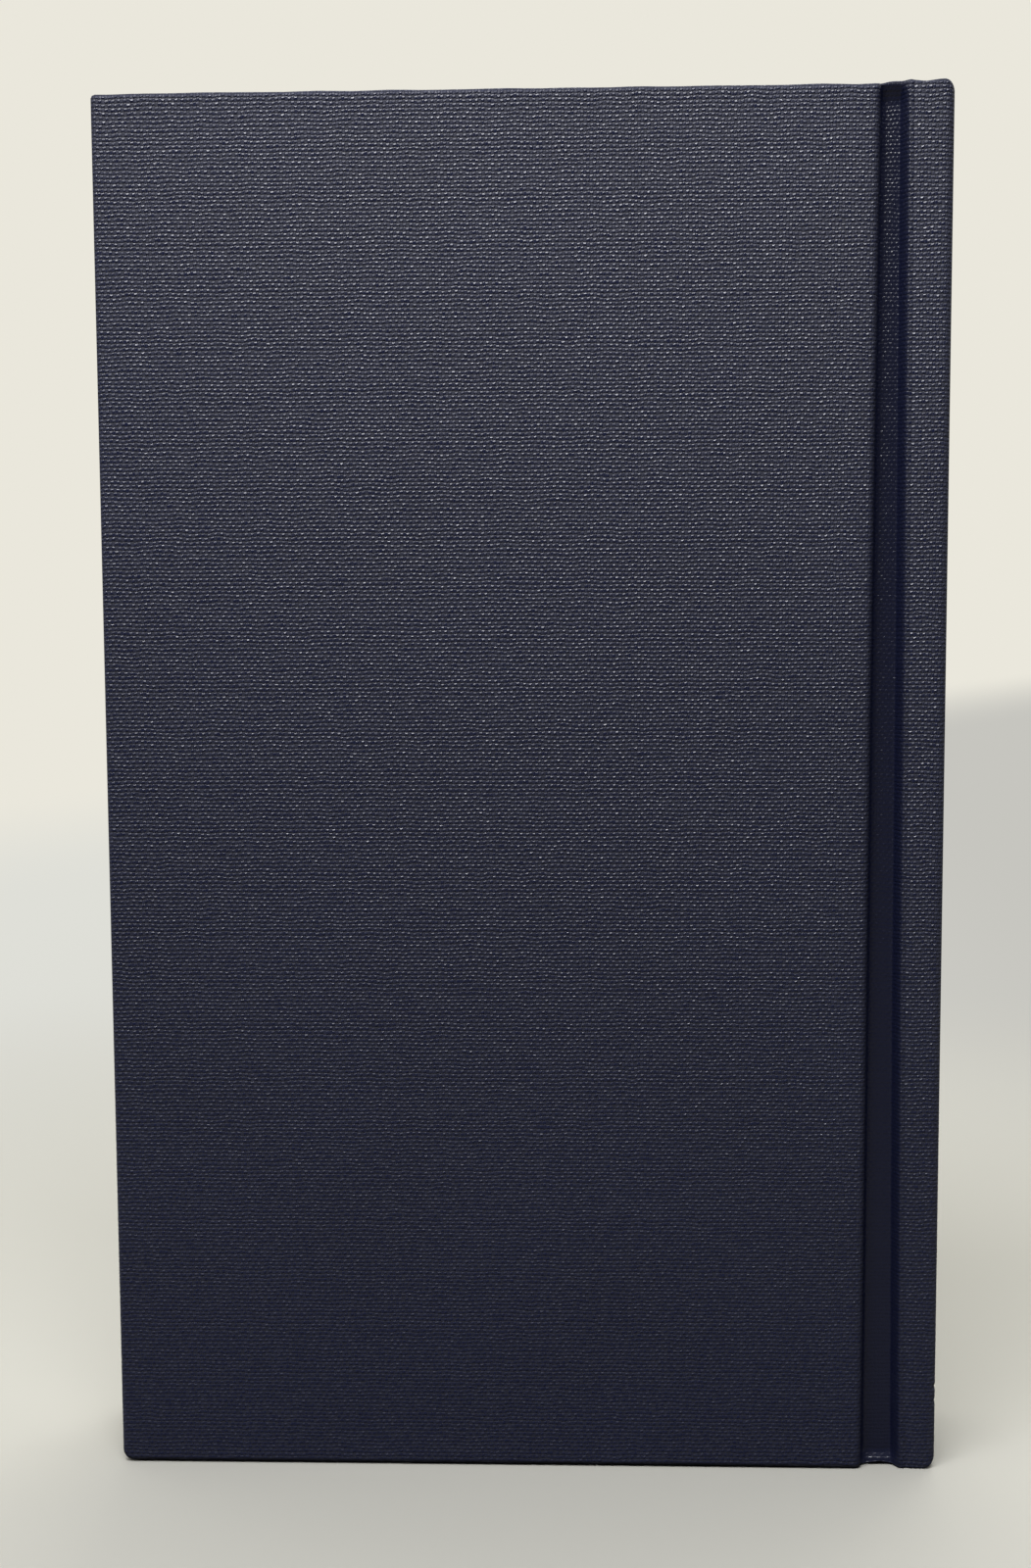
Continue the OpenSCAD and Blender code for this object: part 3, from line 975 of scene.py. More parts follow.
    def face_grid(self) -> tuple[np.ndarray, int]:
        """Lays the grid over the outer faces.

        Returns:
            Its points, and how many of its columns lie on the board's flat.
        """
        k = self.layout
        rows = self.heights()
        board_end = k.x_edge - self.edge_r
        flat_x = np.concatenate([
            k.x_fore + self.frame_w + np.linspace(0, self.zone_w - self.frame_w, self.zone + 1),
            np.linspace(k.x_fore + self.zone_w, board_end, int((k.x_edge - k.x_fore) / self.grid_step))[1:]])
        shift = np.interp(rows, k.joint_z, self.edge_shift)[:, None]
        face_x = flat_x + shift * smooth((flat_x - self.shift_x) / (board_end - self.shift_x))
        path_x, path_y = self.outer_path(rows)
        x = np.hstack([face_x, path_x])
        y = np.hstack([np.full_like(face_x, k.y_out), path_y])
        return np.stack([x, y, np.broadcast_to(rows[:, None], x.shape)], axis=2), len(flat_x)

    def build(self) -> bpy.types.Object:
        """Makes the sheet of this half.

        Returns:
            The new piece.
        """
        grid, boards = self.face_grid()
        height, columns = grid.shape[:2]
        rings = self.frame(grid, boards)
        # Flat distance of each column from the spine's middle, at mid-height
        middle = grid[height // 2, :, :2]
        steps = np.linalg.norm(np.diff(middle, axis=0), axis=1)
        run = np.concatenate([np.cumsum(steps[::-1])[::-1], [0.0]])
        sign, flip = self.side.value, self.side is Side.FRONT
        parts = MeshParts(FLAT_MAP, WEAR_AND_SHADE_MAP)
        number = parts.add_points(grid * [1, sign, 1])
        loop = np.concatenate([number[0, ::-1], number[1:-1, 0], number[-1]])
        ring_number = np.vstack([loop, parts.add_points(rings[1:] * [1, sign, 1])])
        parts.add_quads(number, flip, **{
            FLAT_MAP: np.stack([np.broadcast_to(sign * run, (height, columns)), grid[:, :, 2]], axis=2),
            WEAR_AND_SHADE_MAP: self.face_wear(height, columns, boards)})
        for rim, start, end in ((Rim.TAIL, 0, columns), (Rim.FORE, columns - 1, columns + height - 1),
                                (Rim.HEAD, columns + height - 2, 2 * columns + height - 2)):
            where = rings[:, start:end]
            parts.add_quads(ring_number[:, start:end], flip, **{
                FLAT_MAP: self.ring_map(where, run, middle[boards - 1, 0], boards, rim),
                WEAR_AND_SHADE_MAP: self.ring_wear(where, boards, rim)})
        piece = parts.build(self.side.node("case_cloth"), thickness=self.sheet_t)
        bend_joint(piece)
        return piece

    def frame(self, grid: np.ndarray, boards: int) -> np.ndarray:
        """Rings of points that fold the sheet's free sides over the ends and the fore edge.

        Args:
            grid: The outer grid's points.
            boards: How many of its columns lie on the board's flat.

        Returns:
            The rings, the first of which is the grid's border.
        """
        k = self.layout
        height, columns = grid.shape[:2]
        tail, head = (self.end_section(grid[row, :, :2], boards, row < 0) for row in (0, -1))
        fore = Section(np.array([[k.x_fore, k.y_out]]), np.array([[k.x_fore, k.y_turn]]),
                       np.array([[0.0, -1.0]]), np.array([[0.0, 1.0]]), np.array([self.end_r]), np.zeros(1))
        rings = [np.concatenate([grid[0, ::-1], grid[1:-1, 0], grid[-1]])]
        for stage in self.profile():
            place, inset = self.folded(stage, fore)
            depth, level = float(inset[0]), float(place[0, 1])
            ring = np.concatenate([self.end_ring(stage, tail, boards, depth, level, False)[::-1],
                                   self.fore_ring(grid[:, 0, 2], depth, level)[1:-1],
                                   self.end_ring(stage, head, boards, depth, level, True)])
            if stage[1] is Fold.TURN_IN:
                ring[[columns - 1, columns + height - 2], 1] += self.mitre_dip
            rings.append(ring)
        return np.array(rings)

    def end_section(self, outer: np.ndarray, boards: int, head: bool) -> Section:
        """Works out the section at the head or the tail.

        Args:
            outer: The outer grid's points at that end, X and Y.
            boards: How many of them lie on the board's flat.
            head: Whether it is the head.

        Returns:
            The section.
        """
        k = self.layout
        tangent = np.gradient(outer, axis=0)
        tangent /= np.linalg.norm(tangent, axis=1)[:, None]
        inward = np.stack([tangent[:, 1], -tangent[:, 0]], axis=1)
        inner = np.stack([outer[:, 0], np.full(len(outer), k.y_turn)], axis=1)
        inner_inward = np.tile([0.0, 1.0], (len(outer), 1))
        radius = np.full(len(outer), self.end_r)
        inner[boards:, 0], inner[boards:, 1], radius[boards:] = self.inner_path(*outer[boards:].T)
        joint = boards + sum(self.spans[:3])
        across = inner[joint:] - outer[joint:]
        across /= np.linalg.norm(across, axis=1)[:, None]
        inward[joint:], inner_inward[joint:] = across, -across
        rise = self.end_lift[int(head)] * np.maximum(k.y_shoulder - 0.15 - outer[:, 1], 0)
        rise[boards + sum(self.spans[:5]):] = 0
        return Section(outer, inner, inward, inner_inward, radius, rise)

    def end_ring(self, stage: tuple[float, Fold], at: Section, boards: int, depth: float, level: float,
                 head: bool) -> np.ndarray:
        """Points of one ring along the head or the tail.

        Args:
            stage: The fold's stage.
            at: The section at that end.
            boards: How many of its points lie on the board's flat.
            depth: The ring's inset from the board's sides.
            level: Its Y over the board.
            head: Whether it is the head.

        Returns:
            The points, from the fore edge to the spine's middle.
        """
        k = self.layout
        point, inset = self.folded(stage, at)
        under = {Fold.FACE: 0.0, Fold.OUTER: 0.0, Fold.END: stage[0]}.get(stage[1], 1.0)
        free = 1 - under * (1 - smooth((at.inner[:, 0] - k.x_edge + 0.3) / 0.5))
        point[:, 1] += at.rise * free * (1 - smooth(inset / self.frame_w))
        flat, fan = slice(self.zone, boards), slice(0, self.zone + 1)
        last = point[boards - 1, 0]
        squeeze = (last - k.x_fore - max(self.zone_w, depth + 1)) / (last - k.x_fore - self.zone_w)
        point[flat, 0] = last - (last - point[flat, 0]) * squeeze
        corner = self.corner(depth, self.corner_r[int(head)])[fan][::-1]
        point[fan, 0], inset[fan] = k.x_fore + corner[:, 0], corner[:, 1]
        point[:boards, 1] = level
        near = np.clip(1 - inset / self.frame_w, 0, 1)
        margin = self.end_line(point[:, 0], head) * near
        z = k.cover_h + (k.spine_h - k.cover_h) * near - margin - inset if head else margin + inset
        return np.column_stack([point, z])

    def fore_ring(self, rows: np.ndarray, depth: float, level: float) -> np.ndarray:
        """Points of one ring along the fore edge.

        Args:
            rows: The outer grid's heights.
            depth: The ring's inset from the board's sides.
            level: Its Y.

        Returns:
            The points, from the tail to the head.
        """
        k = self.layout
        rows = rows.copy()
        straight = slice(self.zone, len(rows) - self.zone)
        reach = max(self.zone_w, depth + 1)
        part = (rows[straight] - self.zone_w) / (k.cover_h - 2 * self.zone_w)
        rows[straight] = reach + (k.cover_h - 2 * reach) * part
        x = np.full(len(rows), k.x_fore + depth)
        start, near = x[:1].copy(), max(1 - depth / self.frame_w, 0)
        for head in (False, True):
            corner = self.corner(depth, self.corner_r[int(head)])[self.zone:]
            margin = self.end_line(start, head) * near + corner[:, 1]
            at = np.arange(self.zone + 1)
            at = len(rows) - 1 - at if head else at
            rows[at] = k.cover_h + (k.spine_h - k.cover_h) * near - margin if head else margin
            x[at] = k.x_fore + corner[:, 0]
        return np.column_stack([x, np.full(len(rows), level), rows])

    def ring_map(self, where: np.ndarray, run: np.ndarray, board_end: float, boards: int,
                 rim: Rim) -> np.ndarray:
        """Flat coordinates on the folds along one free side.

        Args:
            where: The rings' points along that side.
            run: Flat distance of each column from the spine's middle.
            board_end: X of the last column on the board's flat.
            boards: How many columns lie on it.
            rim: The side.

        Returns:
            The two coordinates at each point.
        """
        hops = np.diff(where[:, :, :2] if rim is Rim.FORE else where[:, :, 1:], axis=0)
        length = np.vstack([np.zeros(where.shape[1]), np.cumsum(np.linalg.norm(hops, axis=2), axis=0)])
        if rim is Rim.FORE:
            u, v = run[0] + length, where[:, :, 2]
        else:
            own = run[::-1] if rim is Rim.TAIL else run
            u = np.where(own >= run[boards - 1], run[boards - 1] + board_end - where[:, :, 0], own)
            v = self.frame_w - length if rim is Rim.TAIL else self.layout.cover_h - self.frame_w + length
        return np.stack([self.side.value * u, v], axis=2)

    def face_wear(self, rows: int, columns: int, boards: int) -> np.ndarray:
        """Ironing, which also lays painted shade over the groove, and edge wear on the outer grid.

        Args:
            rows: How many rows it has.
            columns: How many columns it has.
            boards: How many of these lie on the board's flat.

        Returns:
            The two shares at each point.
        """
        past = np.arange(columns) - boards
        ends = np.cumsum(self.spans)
        # The pressed share also darkens the colour: painted shade over the groove, fading up the slope
        pressed = np.interp(past, [-1, ends[0] - 1, ends[3], ends[4] - 2, ends[4] + 2], [0, 1, 1, 0.4, 0])
        worn = np.interp(past, [-1, 2, ends[0], ends[1], ends[5] - 1, ends[5] + 2, ends[6] + 1, ends[6] + 3],
                         [0, 0.5, 1, 0, 0, 1, 1, 0.1])
        return np.broadcast_to(np.stack([pressed, worn], axis=1), (rows, columns, 2))

    def ring_wear(self, where: np.ndarray, boards: int, rim: Rim) -> np.ndarray:
        """Ironing, which also lays painted shade over the groove, and edge wear on the folds: worn over the
        rounded ends, plain on the turn-ins.

        Args:
            where: The rings' points along one free side.
            boards: How many columns lie on the board's flat.
            rim: The side.

        Returns:
            The two shares at each point.
        """
        kinds = [Fold.FACE, *(kind for _, kind in self.profile())]
        wear = np.zeros((*where.shape[:2], 2))
        wear[:, :, 1] = np.array([kind.value[1] for kind in kinds])[:, None]
        if rim is not Rim.FORE:
            pressed = self.face_wear(1, where.shape[1], boards)[0, :, 0]
            wear[:kinds.count(Fold.FACE), :, 0] = pressed[::-1] if rim is Rim.TAIL else pressed
        return wear


@dataclass
class CasePieces:
    """The covering cloth of the whole case, one piece for each half."""

    layout: Layout
    flat_size: tuple[float, float] = (0.1415, 0.2175)

    def build(self) -> list[bpy.types.Object]:
        """Makes both halves and lets them stand for the CAD's cloth.

        Returns:
            The two pieces.
        """
        material = FilledBookCloth().build()
        pieces = []
        for side in Side:
            piece = CaseCloth(self.layout, side).build()
            dress(piece, material)
            side.node("board")
            names = [side.node("cover_cloth")] + (["spine_cloth"] if side is Side.FRONT else [])
            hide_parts(*names)
            pieces.append(piece)
        return pieces


@dataclass
class Endpaper:
    """One folded endpaper: the pastedown with the strip in the joint, and the free flyleaf."""

    layout: Layout
    side: Side
    flat_size: tuple[float, float] = (0.1040, 0.1755)
    # How far the pastedown sinks onto the bare board and onto the mull's wing, and over what distance
    dip_board: float = 0.37
    dip_wing: float = 0.12
    soften: float = 1.1
    row_count: int = 88
    # Y at which the pastedown and the flyleaf end on the shoulder's slope
    fold_y: tuple[float, float] = (9.15, 9.3)

    def path(self, places: np.ndarray, level: float, end: float) -> np.ndarray:
        """Path of a sheet along the block and up the shoulder's slope.

        Args:
            places: X of its points before the slope.
            level: Y of its face toward the block.
            end: Y where it ends on the slope.

        Returns:
            X and Y of the points, from the fore edge to the fold.
        """
        k = self.layout
        depth = k.y_floor - level
        foot, fold = np.array([k.foot(depth), level]), np.array([k.slope(depth, end), end])
        return np.vstack([np.stack([places, np.full(len(places), level)], axis=1),
                          foot + (fold - foot) * np.linspace(0, 1, 7)[1:, None]])

    def sink(self, x: np.ndarray, z: np.ndarray) -> np.ndarray:
        """Sinks the pastedown off the turn-ins onto the bare board and the mull's wing.

        Args:
            x: X of its points.
            z: Z of its points.

        Returns:
            How far it lies away from the block there.
        """
        k = self.layout
        inset = np.minimum(np.minimum(x - (k.x_fore + k.turn_in), k.x_edge - 0.4 - x),
                           np.minimum(z - k.turn_in, k.cover_h - k.turn_in - z))
        wing = np.minimum(x - k.x_wing, np.minimum(z - k.z_mull[0], k.z_mull[1] - z))
        bare = smooth(inset / self.soften)
        return bare * (self.dip_board + (self.dip_wing - self.dip_board) * smooth(wing / self.soften + 1))

    def build(self, material: bpy.types.Material) -> list[bpy.types.Object]:
        """Makes the pastedown and the flyleaf, and lets them stand for the CAD's nodes.

        Args:
            material: The paper.

        Returns:
            The two pieces.
        """
        k, side = self.layout, self.side
        rows = np.linspace(k.z_leaf_0, k.z_leaf_1, self.row_count)
        # Closer columns where the sheet sinks off the turn-in and onto the wing, and through the joint
        places = np.unique(np.concatenate([
            np.linspace(k.x_leaf, 44.0, 44),
            *(np.linspace(x - 1.4, x + 1.4, 8) for x in (k.x_fore + k.turn_in, k.x_wing)),
            np.linspace(43.4, k.foot(k.y_floor - k.y_paste), 40)]))
        path = self.path(places, k.y_paste, self.fold_y[0])
        pastedown = sheet_along(side.node("pastedown_sheet"), k, side, path, rows, k.paper_t,
                                side is Side.BACK, self.sink)
        bend_joint(pastedown)
        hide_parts(side.node("pastedown"))
        side.node("board")
        places = np.linspace(k.x_leaf, k.foot(k.y_floor - k.y_block), 50)
        path = self.path(places, k.y_block, self.fold_y[1])
        flyleaf = sheet_along(side.node("flyleaf_sheet"), k, side, path, rows, k.paper_t, side is Side.BACK)
        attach(flyleaf, "block")
        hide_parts(side.node("flyleaf"))
        for piece in (pastedown, flyleaf):
            dress(piece, material)
        return [pastedown, flyleaf]


@dataclass
class MullStrip:
    """Half of the mull: gauze from the board's inner face through the joint to the spine's middle."""

    layout: Layout
    side: Side
    flat_size: tuple[float, float] = (0.0425, 0.1485)
    back_x: float = 52.6
    back_y: float = 9.57
    depth: float = 0.43
    gauze_t: float = 0.2
    row_count: int = 75
    # Columns on the wing, in the joint, on the slope, over the shoulder and on half of the spine
    spans: tuple[int, ...] = (14, 10, 6, 5, 8)

    def build(self, material: bpy.types.Material) -> bpy.types.Object:
        """Makes the strip and lets it stand for the CAD's mull on this side.

        Args:
            material: The gauze.

        Returns:
            The new piece.
        """
        k, side = self.layout, self.side
        level = k.y_floor - self.depth
        stops = np.array([(k.x_wing, level), (k.x_edge, level), (k.foot(self.depth), level),
                          (k.slope(self.depth, self.back_y), self.back_y), (self.back_x, self.back_y),
                          (self.back_x, 0.0)])
        path = np.concatenate([stops[:1], *(a + (b - a) * np.linspace(0, 1, n + 1)[1:, None]
                                            for a, b, n in zip(stops, stops[1:], self.spans))])
        piece = sheet_along(side.node("mull_strip"), k, side, path, np.linspace(*k.z_mull, self.row_count),
                            self.gauze_t, side is Side.FRONT)
        bend_joint(piece)
        names = [side.node("mull_wing")] + (["spine_mull"] if side is Side.FRONT else [])
        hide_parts(*names)
        side.node("board")
        dress(piece, material)
        return piece


@dataclass
class TextBlock:
    """The sewn block: 120 leaves in 15 sections, backed into shoulders at the spine."""

    layout: Layout
    leaves: int = 120
    leaves_a_section: int = 8
    cut_step: float = 0.035
    fold_dip: float = 0.12
    clear: float = 0.02
    seed: int = 3

    def half_thickness(self, x: np.ndarray) -> np.ndarray:
        """Widens the block toward its shoulders.

        Args:
            x: Places along its width.

        Returns:
            Half of its thickness there.
        """
        k = self.layout
        depth = k.y_floor - k.y_block
        rise = (x - k.foot(depth)) / (k.slope(depth, k.y_block_shoulder) - k.foot(depth))
        return k.y_block + (k.y_block_shoulder - k.y_block) * smooth(rise) - self.clear

    def build(self, material: bpy.types.Material) -> bpy.types.Object:
        """Makes the block as a closed box of grids, with every leaf's cut edge a little off the next.

        Args:
            material: The cut edges' paper.

        Returns:
            The new piece.
        """
        k = self.layout
        rng = np.random.default_rng(self.seed)
        share = np.linspace(-1, 1, self.leaves + 1)
        fore, head, tail = (rng.uniform(-1, 0, self.leaves + 1) * self.cut_step for _ in range(3))
        fold = np.abs(np.sin(math.pi * np.arange(self.leaves + 1) / self.leaves_a_section))
        # Closer columns in the shoulders
        x_share = np.concatenate([np.linspace(0, 0.95, 26), np.linspace(0.96, 1, 16)])
        z_share = np.linspace(0, 1, 24)

        def place(a: np.ndarray, leaf: np.ndarray, c: np.ndarray) -> np.ndarray:
            """Finds points of the block.

            Args:
                a: Their share of the width.
                leaf: The leaf's number.
                c: Their share of the height.

            Returns:
                The points.
            """
            spine = k.x_block_out - self.fold_dip * (1 - fold[leaf])
            x = k.x_leaf - fore[leaf] + (spine - k.x_leaf + fore[leaf]) * a
            z = k.z_leaf_0 - tail[leaf] + (k.z_leaf_1 - k.z_leaf_0 + head[leaf] + tail[leaf]) * c
            return np.stack([k.warp(x, z), share[leaf] * self.half_thickness(x), z], axis=-1)

        parts = MeshParts(LEAF_MAP)
        leaf, zero, one = np.arange(self.leaves + 1)[None], np.array([[0]]), np.array([[1]])
        # Head, tail, fore edge, spine, front and back
        sides = ((x_share[:, None], leaf, one, False), (x_share[:, None], leaf, zero, True),
                 (zero, leaf, z_share[:, None], False), (one, leaf, z_share[:, None], True),
                 (x_share[None], self.leaves * one, z_share[:, None], True),
                 (x_share[None], zero, z_share[:, None], False))
        for *shares, flip in sides:
            a, number, c = np.broadcast_arrays(*shares)
            points = place(a, number, c)
            along = points[..., 0] + points[..., 2]
            parts.add_quads(parts.add_points(points), flip,
                            **{LEAF_MAP: np.stack([number + 0.5, along], axis=2)})
        piece = parts.build("leaf_block", weld=0.001, crease=35.0)
        dress(piece, material)
        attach(piece, "block")
        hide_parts("text_block")
        return piece


@dataclass
class EndBand:
    """A head or tail band: thread wound in ridges over a core, on a tape glued to the spine."""

    layout: Layout
    at_head: bool
    bead_r: float = 0.9
    thread_depth: float = 0.13
    centre_x: float = 51.625
    turn_pitch: float = 0.62
    tape: tuple[float, float] = (52.42, 52.63)
    tape_z: float = 168.0
    # A turn in the middle of a natural stripe, which the whole tape takes
    tape_turn: float = 2.5

    def build(self, material: bpy.types.Material) -> bpy.types.Object:
        """Makes the band and lets it stand for its CAD node.

        Args:
            material: The thread.

        Returns:
            The new piece.
        """
        k = self.layout
        half = k.y_block_shoulder - 0.05
        turns = 2 * half / self.turn_pitch
        along = np.linspace(0, 1, int(turns * 7) + 1)
        around = np.linspace(0, 2 * math.pi, 25)
        parts = MeshParts(THREAD_MAP)
        count = along[:, None] * turns + around[None] / (2 * math.pi)
        groove = np.abs(np.sin(math.pi * count)) ** 0.6
        # The bead keeps its width up to its rounded tips
        taper = np.sqrt(np.clip(1 - (np.abs(along - 0.5) * 2) ** 24, 0, 1))[:, None]
        radius = (self.bead_r - self.thread_depth * (1 - groove)) * (0.35 + 0.65 * taper)
        z = k.z_leaf_1 + self.bead_r
        bead = np.stack([self.centre_x + radius * np.cos(around)[None],
                         np.broadcast_to(-half + 2 * half * along[:, None], count.shape),
                         z + radius * np.sin(around)[None]], axis=2)
        numbers = parts.add_points(bead[:, :-1])
        numbers = np.hstack([numbers, numbers[:, :1]])
        parts.add_quads(numbers, False, **{
            THREAD_MAP: np.stack([count, np.broadcast_to(around, count.shape)], axis=2)})
        for row, flip in ((0, True), (-1, False)):
            tip = parts.add_points(np.array([[[self.centre_x, bead[row, 0, 1], z]]]))
            self.add_fan(parts, numbers[row], int(tip[0, 0]), count[row], flip)
        self.add_tape(parts, half)
        piece = parts.build("wound_headband" if self.at_head else "wound_tailband")
        if not self.at_head:
            mirror = Matrix.Translation((0, 0, k.cover_h * MM)) @ Matrix.Diagonal((1, 1, -1, 1))
            piece.data.transform(mirror)
            piece.data.flip_normals()
        dress(piece, material)
        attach(piece, "block")
        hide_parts("headband" if self.at_head else "tailband")
        return piece

    def add_fan(self, parts: MeshParts, rim: np.ndarray, tip: int, count: np.ndarray, flip: bool) -> None:
        """Closes a bead's end with triangles to its middle.

        Args:
            parts: The band's mesh.
            rim: Numbers of the points around the end.
            tip: Number of the point in the middle.
            count: Turns at the points around the end.
            flip: Whether the faces look the other way.
        """
        order = slice(None, None, -1 if flip else 1)
        for i in range(len(rim) - 1):
            parts.faces.append((int(rim[i]), int(rim[i + 1]), tip)[order])
            spread = np.array([(count[i], 0.0), (count[i + 1], 0.0), (count[i], 0.0)])
            parts.maps[THREAD_MAP].append(spread[order])

    def add_tape(self, parts: MeshParts, half: float) -> None:
        """Adds the tape as a thin closed slab behind the bead.

        Args:
            parts: The band's mesh.
            half: Half of the band's width.
        """
        x0, x1 = self.tape
        z0, z1 = self.tape_z, self.layout.z_leaf_1 + self.bead_r
        y = np.linspace(-half, half, 20)
        band = np.array([[(x, across, z) for x, z in ((x0, z0), (x1, z0), (x1, z1), (x0, z1))]
                         for across in y])
        numbers = parts.add_points(band)
        numbers = np.hstack([numbers, numbers[:, :1]])
        plain = np.array([self.tape_turn, 0.0])
        parts.add_quads(numbers, False, **{THREAD_MAP: np.broadcast_to(plain, (*numbers.shape, 2))})
        for row, order in ((0, (0, 3, 2, 1)), (-1, (0, 1, 2, 3))):
            parts.faces.append(tuple(int(numbers[row, i]) for i in order))
            parts.maps[THREAD_MAP].append(np.tile(plain, (4, 1)))


@dataclass(frozen=True)
class HiddenParts:
    """Boards, stiffener and lining: CAD nodes that keep their shape and get real finishes."""

    grey: PressedBoard = PressedBoard("greyboard", "#8f8a80", "#6e695f")
    kraft: PressedBoard = PressedBoard("kraft_paper", "#b08458", "#8f673f", 0.4)

    def build(self) -> None:
        """Dresses the nodes."""
        grey, kraft = self.grey.build(), self.kraft.build()
        finishes = {"front_board": grey, "back_board": grey, "spine_stiffener": grey, "spine_lining": kraft}
        for name, material in finishes.items():
            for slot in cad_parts[name].material_slots:
                slot.material = material
            LOG.info("dressed %s with %s", name, material.name)


@dataclass(frozen=True)
class SoftLamp:
    """A soft rectangular lamp that points at a place, in metres and watts."""

    name: str
    place: tuple[float, float, float]
    aim: tuple[float, float, float]
    size: tuple[float, float]
    power: float
    colour: str

    def build(self) -> None:
        """Adds the lamp to the scene."""
        light = bpy.data.lights.new(self.name, "AREA")
        light.shape = "RECTANGLE"
        light.size, light.size_y = self.size
        light.energy = self.power
        light.color = linear(self.colour)[:3]
        lamp = bpy.data.objects.new(self.name, light)
        lamp.location = self.place
        lamp.rotation_euler = (Vector(self.aim) - Vector(self.place)).to_track_quat("-Z", "Y").to_euler()
        bpy.context.scene.collection.objects.link(lamp)


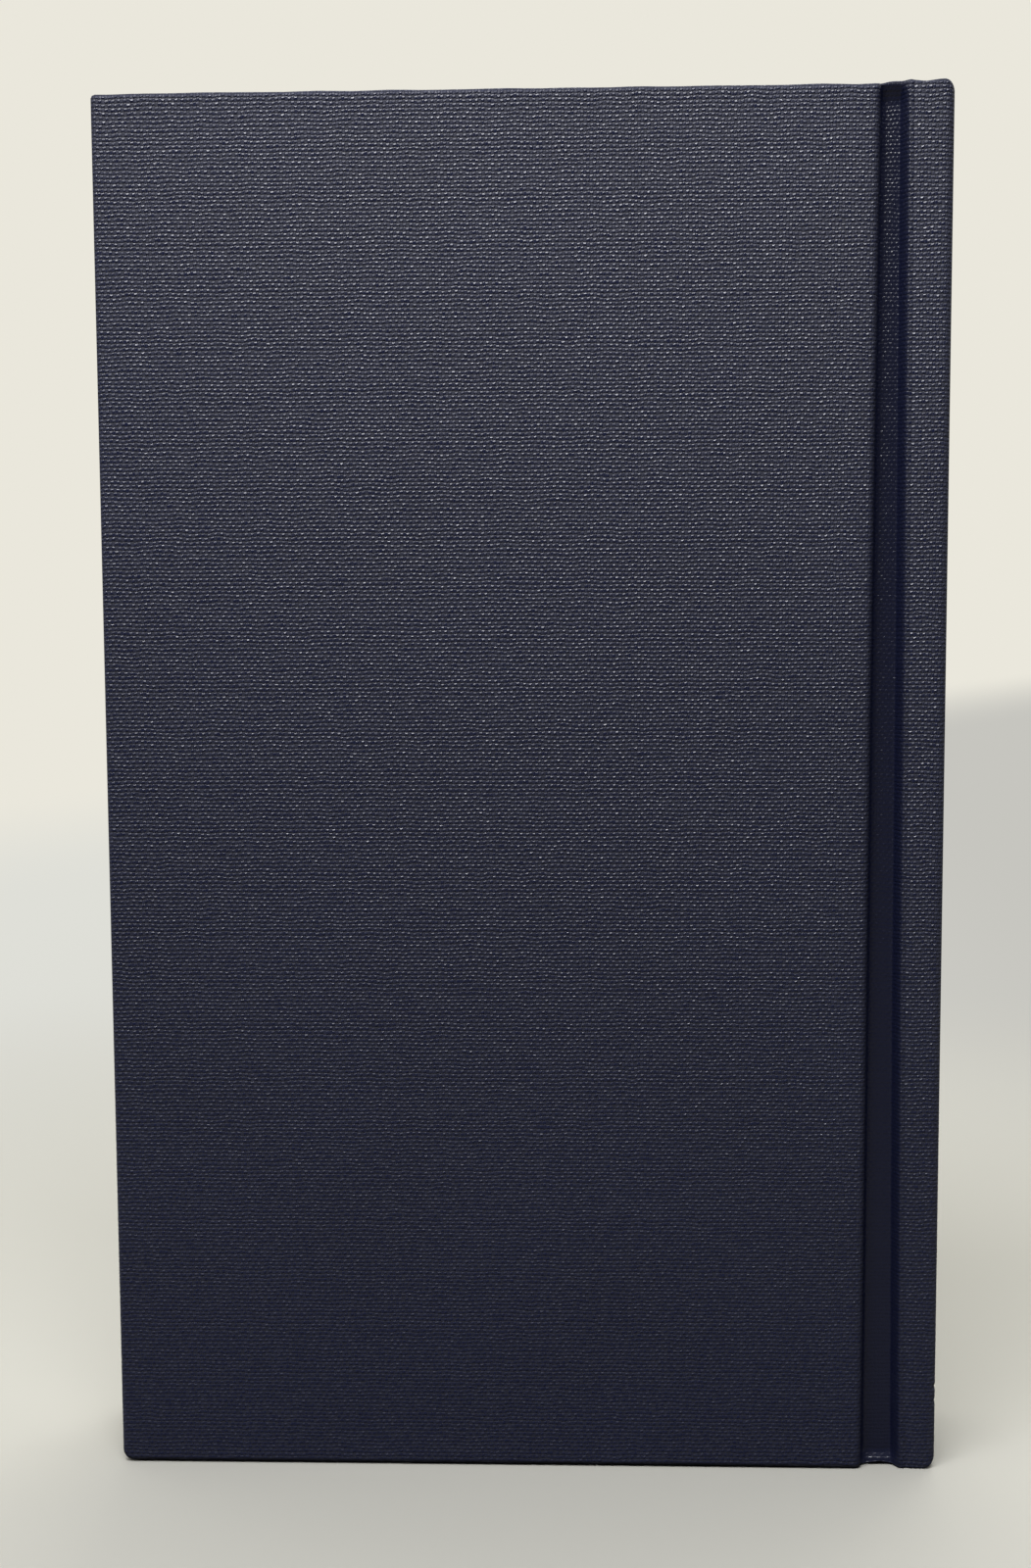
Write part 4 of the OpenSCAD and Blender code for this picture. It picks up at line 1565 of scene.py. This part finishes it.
@dataclass
class Studio:
    """Pale table and wall, one soft lamp before the book and one behind it, and a soft world."""

    lamps: tuple[SoftLamp, ...] = (
        SoftLamp("key", (-0.08, -0.31, 0.62), (0.0, -0.01, 0.1), (0.5, 0.28), 3.5, "#fcfcff"),
        SoftLamp("far", (0.12, 0.44, 0.6), (0.0, 0.01, 0.09), (0.5, 0.3), 1.6, "#fffdf8"))
    table_tone: str = "#cccbc2"
    # What the table throws back onto the book, darker than the lens sees it
    table_bounce: str = "#43423f"
    wall_seen: str = "#eae7dc"
    # The far table as the lens sees it: lighter on the left, darker on the right as a painted shadow
    far_lit_left: str = "#dfdfd8"
    far_painted_shadow_right: str = "#c6c5bf"
    # Distances from the book, in metres, over which the seen far tone takes over the lit table, and
    # the places between which that tone darkens from left to right, a painted shadow
    far_start: tuple[float, float] = (0.11, 0.36)
    far_width: tuple[float, float] = (-0.2, 0.2)
    half_width: float = 3.0
    front: float = -2.0
    back: float = 3.0
    bend_r: float = 0.5
    wall_height: float = 2.6
    # Where the table's far edge runs, and over what depth it blurs
    edge_place: float = 1.127
    edge_slant: float = -1.72
    edge_blur: tuple[float, float] = (-0.3, 0.3)
    # The world is bright overhead and behind the book, and dark on the side of the lens
    sky: str = "#f4f3ef"
    sky_pole: tuple[float, float, float] = (-0.1, 0.75, 0.65)
    sky_span: tuple[float, float] = (-0.1, 1.0)
    sky_levels: tuple[float, float] = (0.02, 1.15)

    def build(self) -> None:
        """Makes the table, the lamps and the world."""
        self.sweep()
        for lamp in self.lamps:
            lamp.build()
        world = bpy.data.worlds.new("soft_room")
        bpy.context.scene.world = world
        world.use_nodes = True
        tree = world.node_tree
        tree.nodes.clear()
        way = add_node(tree, "ShaderNodeTexCoord").outputs["Generated"]
        toward = add_node(tree, "ShaderNodeVectorMath", way, self.sky_pole, operation="DOT_PRODUCT")
        level = add_node(tree, "ShaderNodeMapRange", toward.outputs["Value"],
                         *self.sky_span, *self.sky_levels)
        sky = add_node(tree, "ShaderNodeBackground", linear(self.sky), level)
        seen = add_node(tree, "ShaderNodeBackground", linear(self.wall_seen), 1.0)
        lens = add_node(tree, "ShaderNodeLightPath").outputs["Is Camera Ray"]
        add_node(tree, "ShaderNodeOutputWorld", add_node(tree, "ShaderNodeMixShader", lens, sky, seen))

    def sweep(self) -> None:
        """Makes the table that curves up into the wall, as one sheet."""
        arc = np.linspace(0, math.pi / 2, 25)
        table_y = np.linspace(self.front, self.back, 40)
        wall_z = np.linspace(self.bend_r, self.wall_height, 12)[1:]
        y = np.concatenate([table_y, self.back + self.bend_r * np.sin(arc)[1:],
                            np.full(len(wall_z), self.back + self.bend_r)])
        z = np.concatenate([np.zeros(len(table_y)), self.bend_r * (1 - np.cos(arc))[1:], wall_z])
        run = np.concatenate([[0], np.cumsum(np.hypot(np.diff(y), np.diff(z)))]) + self.front
        x, y, z, run = np.broadcast_arrays(np.linspace(-self.half_width, self.half_width, 31),
                                           y[:, None], z[:, None], run[:, None])
        parts = MeshParts(SWEEP_MAP)
        parts.add_quads(parts.add_points(np.stack([x, y, z], axis=2) / MM), False,
                        **{SWEEP_MAP: np.stack([x, run], axis=2)})
        piece = parts.build("pale_table")
        piece.data.materials.append(self.paint())

    def paint(self) -> bpy.types.Material:
        """Matt paint: a grey-white table, and past its slanting edge a wall that the lens sees as pale. Away
        from the book the lens sees a painted table tone, darker to the right: a painted shadow.

        Returns:
            The new material.
        """
        material, tree = new_material("matt_paint")
        run = add_node(tree, "ShaderNodeUVMap", uv_map=SWEEP_MAP)
        place = add_node(tree, "ShaderNodeSeparateXYZ", run)
        past = add_node(tree, "ShaderNodeMath", place.outputs[0], self.edge_slant, -self.edge_place,
                        operation="MULTIPLY_ADD")
        depth = add_node(tree, "ShaderNodeMath", place.outputs[1], past, operation="ADD")
        share = add_node(tree, "ShaderNodeMapRange", depth, *self.edge_blur, interpolation_type="SMOOTHSTEP")
        lens = add_node(tree, "ShaderNodeLightPath").outputs["Is Camera Ray"]
        tone = add_node(tree, "ShaderNodeMix", lens, data_type="RGBA",
                        named={6: linear(self.table_bounce), 7: linear(self.table_tone)})
        matt = add_node(tree, "ShaderNodeBsdfPrincipled", named={
            "Base Color": tone.outputs[2], "Roughness": 0.95})
        # Painted shadow: the far table's seen tone darkens from left to right
        across = add_node(tree, "ShaderNodeMapRange", place.outputs[0], *self.far_width,
                          interpolation_type="SMOOTHSTEP")
        table = add_node(tree, "ShaderNodeMix", across, data_type="RGBA",
                         named={6: linear(self.far_lit_left), 7: linear(self.far_painted_shadow_right)})
        beyond = add_node(tree, "ShaderNodeMix", share, data_type="RGBA",
                          named={6: table.outputs[2], 7: linear(self.wall_seen)})
        seen = add_node(tree, "ShaderNodeEmission", beyond.outputs[2])
        apart = add_node(tree, "ShaderNodeVectorMath", run, operation="LENGTH")
        away = add_node(tree, "ShaderNodeMapRange", apart.outputs["Value"], *self.far_start,
                        interpolation_type="SMOOTHSTEP")
        far = add_node(tree, "ShaderNodeMath", away, lens, operation="MULTIPLY")
        add_node(tree, "ShaderNodeOutputMaterial", add_node(tree, "ShaderNodeMixShader", far, matt, seen))
        return material


@dataclass
class PhotoCamera:
    """The camera of the photograph, fitted to the book's outline: place in millimetres, angles in degrees."""

    place: tuple[float, float, float] = (8.963, -278.68, 119.129)
    yaw: float = 2.1261
    pitch: float = 5.6113
    roll: float = 0.2921
    focal_pixels: float = 2100.0
    width_pixels: float = 1052.0
    sensor: float = 36.0

    def build(self) -> None:
        """Makes the camera and gives it to the scene."""
        yaw, pitch, roll = (math.radians(a) for a in (self.yaw, self.pitch, self.roll))
        ahead = Vector((-math.sin(yaw) * math.cos(pitch), math.cos(yaw) * math.cos(pitch), -math.sin(pitch)))
        right = Vector((math.cos(yaw), math.sin(yaw), 0.0))
        down = ahead.cross(right)
        right, down = (right * math.cos(roll) + down * math.sin(roll),
                       down * math.cos(roll) - right * math.sin(roll))
        data = bpy.data.cameras.new("photo_camera")
        data.sensor_fit = "HORIZONTAL"
        data.sensor_width = self.sensor
        data.lens = self.sensor * self.focal_pixels / self.width_pixels
        data.clip_start = 0.01
        camera = bpy.data.objects.new("photo_camera", data)
        axes = Matrix((right, -down, -ahead)).transposed().to_4x4()
        camera.matrix_world = Matrix.Translation(Vector(self.place) * MM) @ axes
        bpy.context.scene.collection.objects.link(camera)
        bpy.context.scene.camera = camera


def main() -> None:
    """Builds the book's pieces and its studio, in order."""
    PhotoCamera().build()
    Studio().build()
    layout = Layout()
    paper = WovePaper().build()
    gauze = Gauze().build()
    leaves = CutLeaves().build()
    thread = WoundCotton().build()
    pieces = CasePieces(layout).build()
    for side in Side:
        pieces += Endpaper(layout, side).build(paper)
        pieces.append(MullStrip(layout, side).build(gauze))
    pieces.append(TextBlock(layout).build(leaves))
    pieces += [EndBand(layout, at_head).build(thread) for at_head in (True, False)]
    HiddenParts().build()
    for piece in pieces:
        LOG.info("%s: %d faces", piece.name, len(piece.data.polygons))
    bpy.context.scene.view_settings.view_transform = "Standard"


if __name__ == "__main__":
    main()
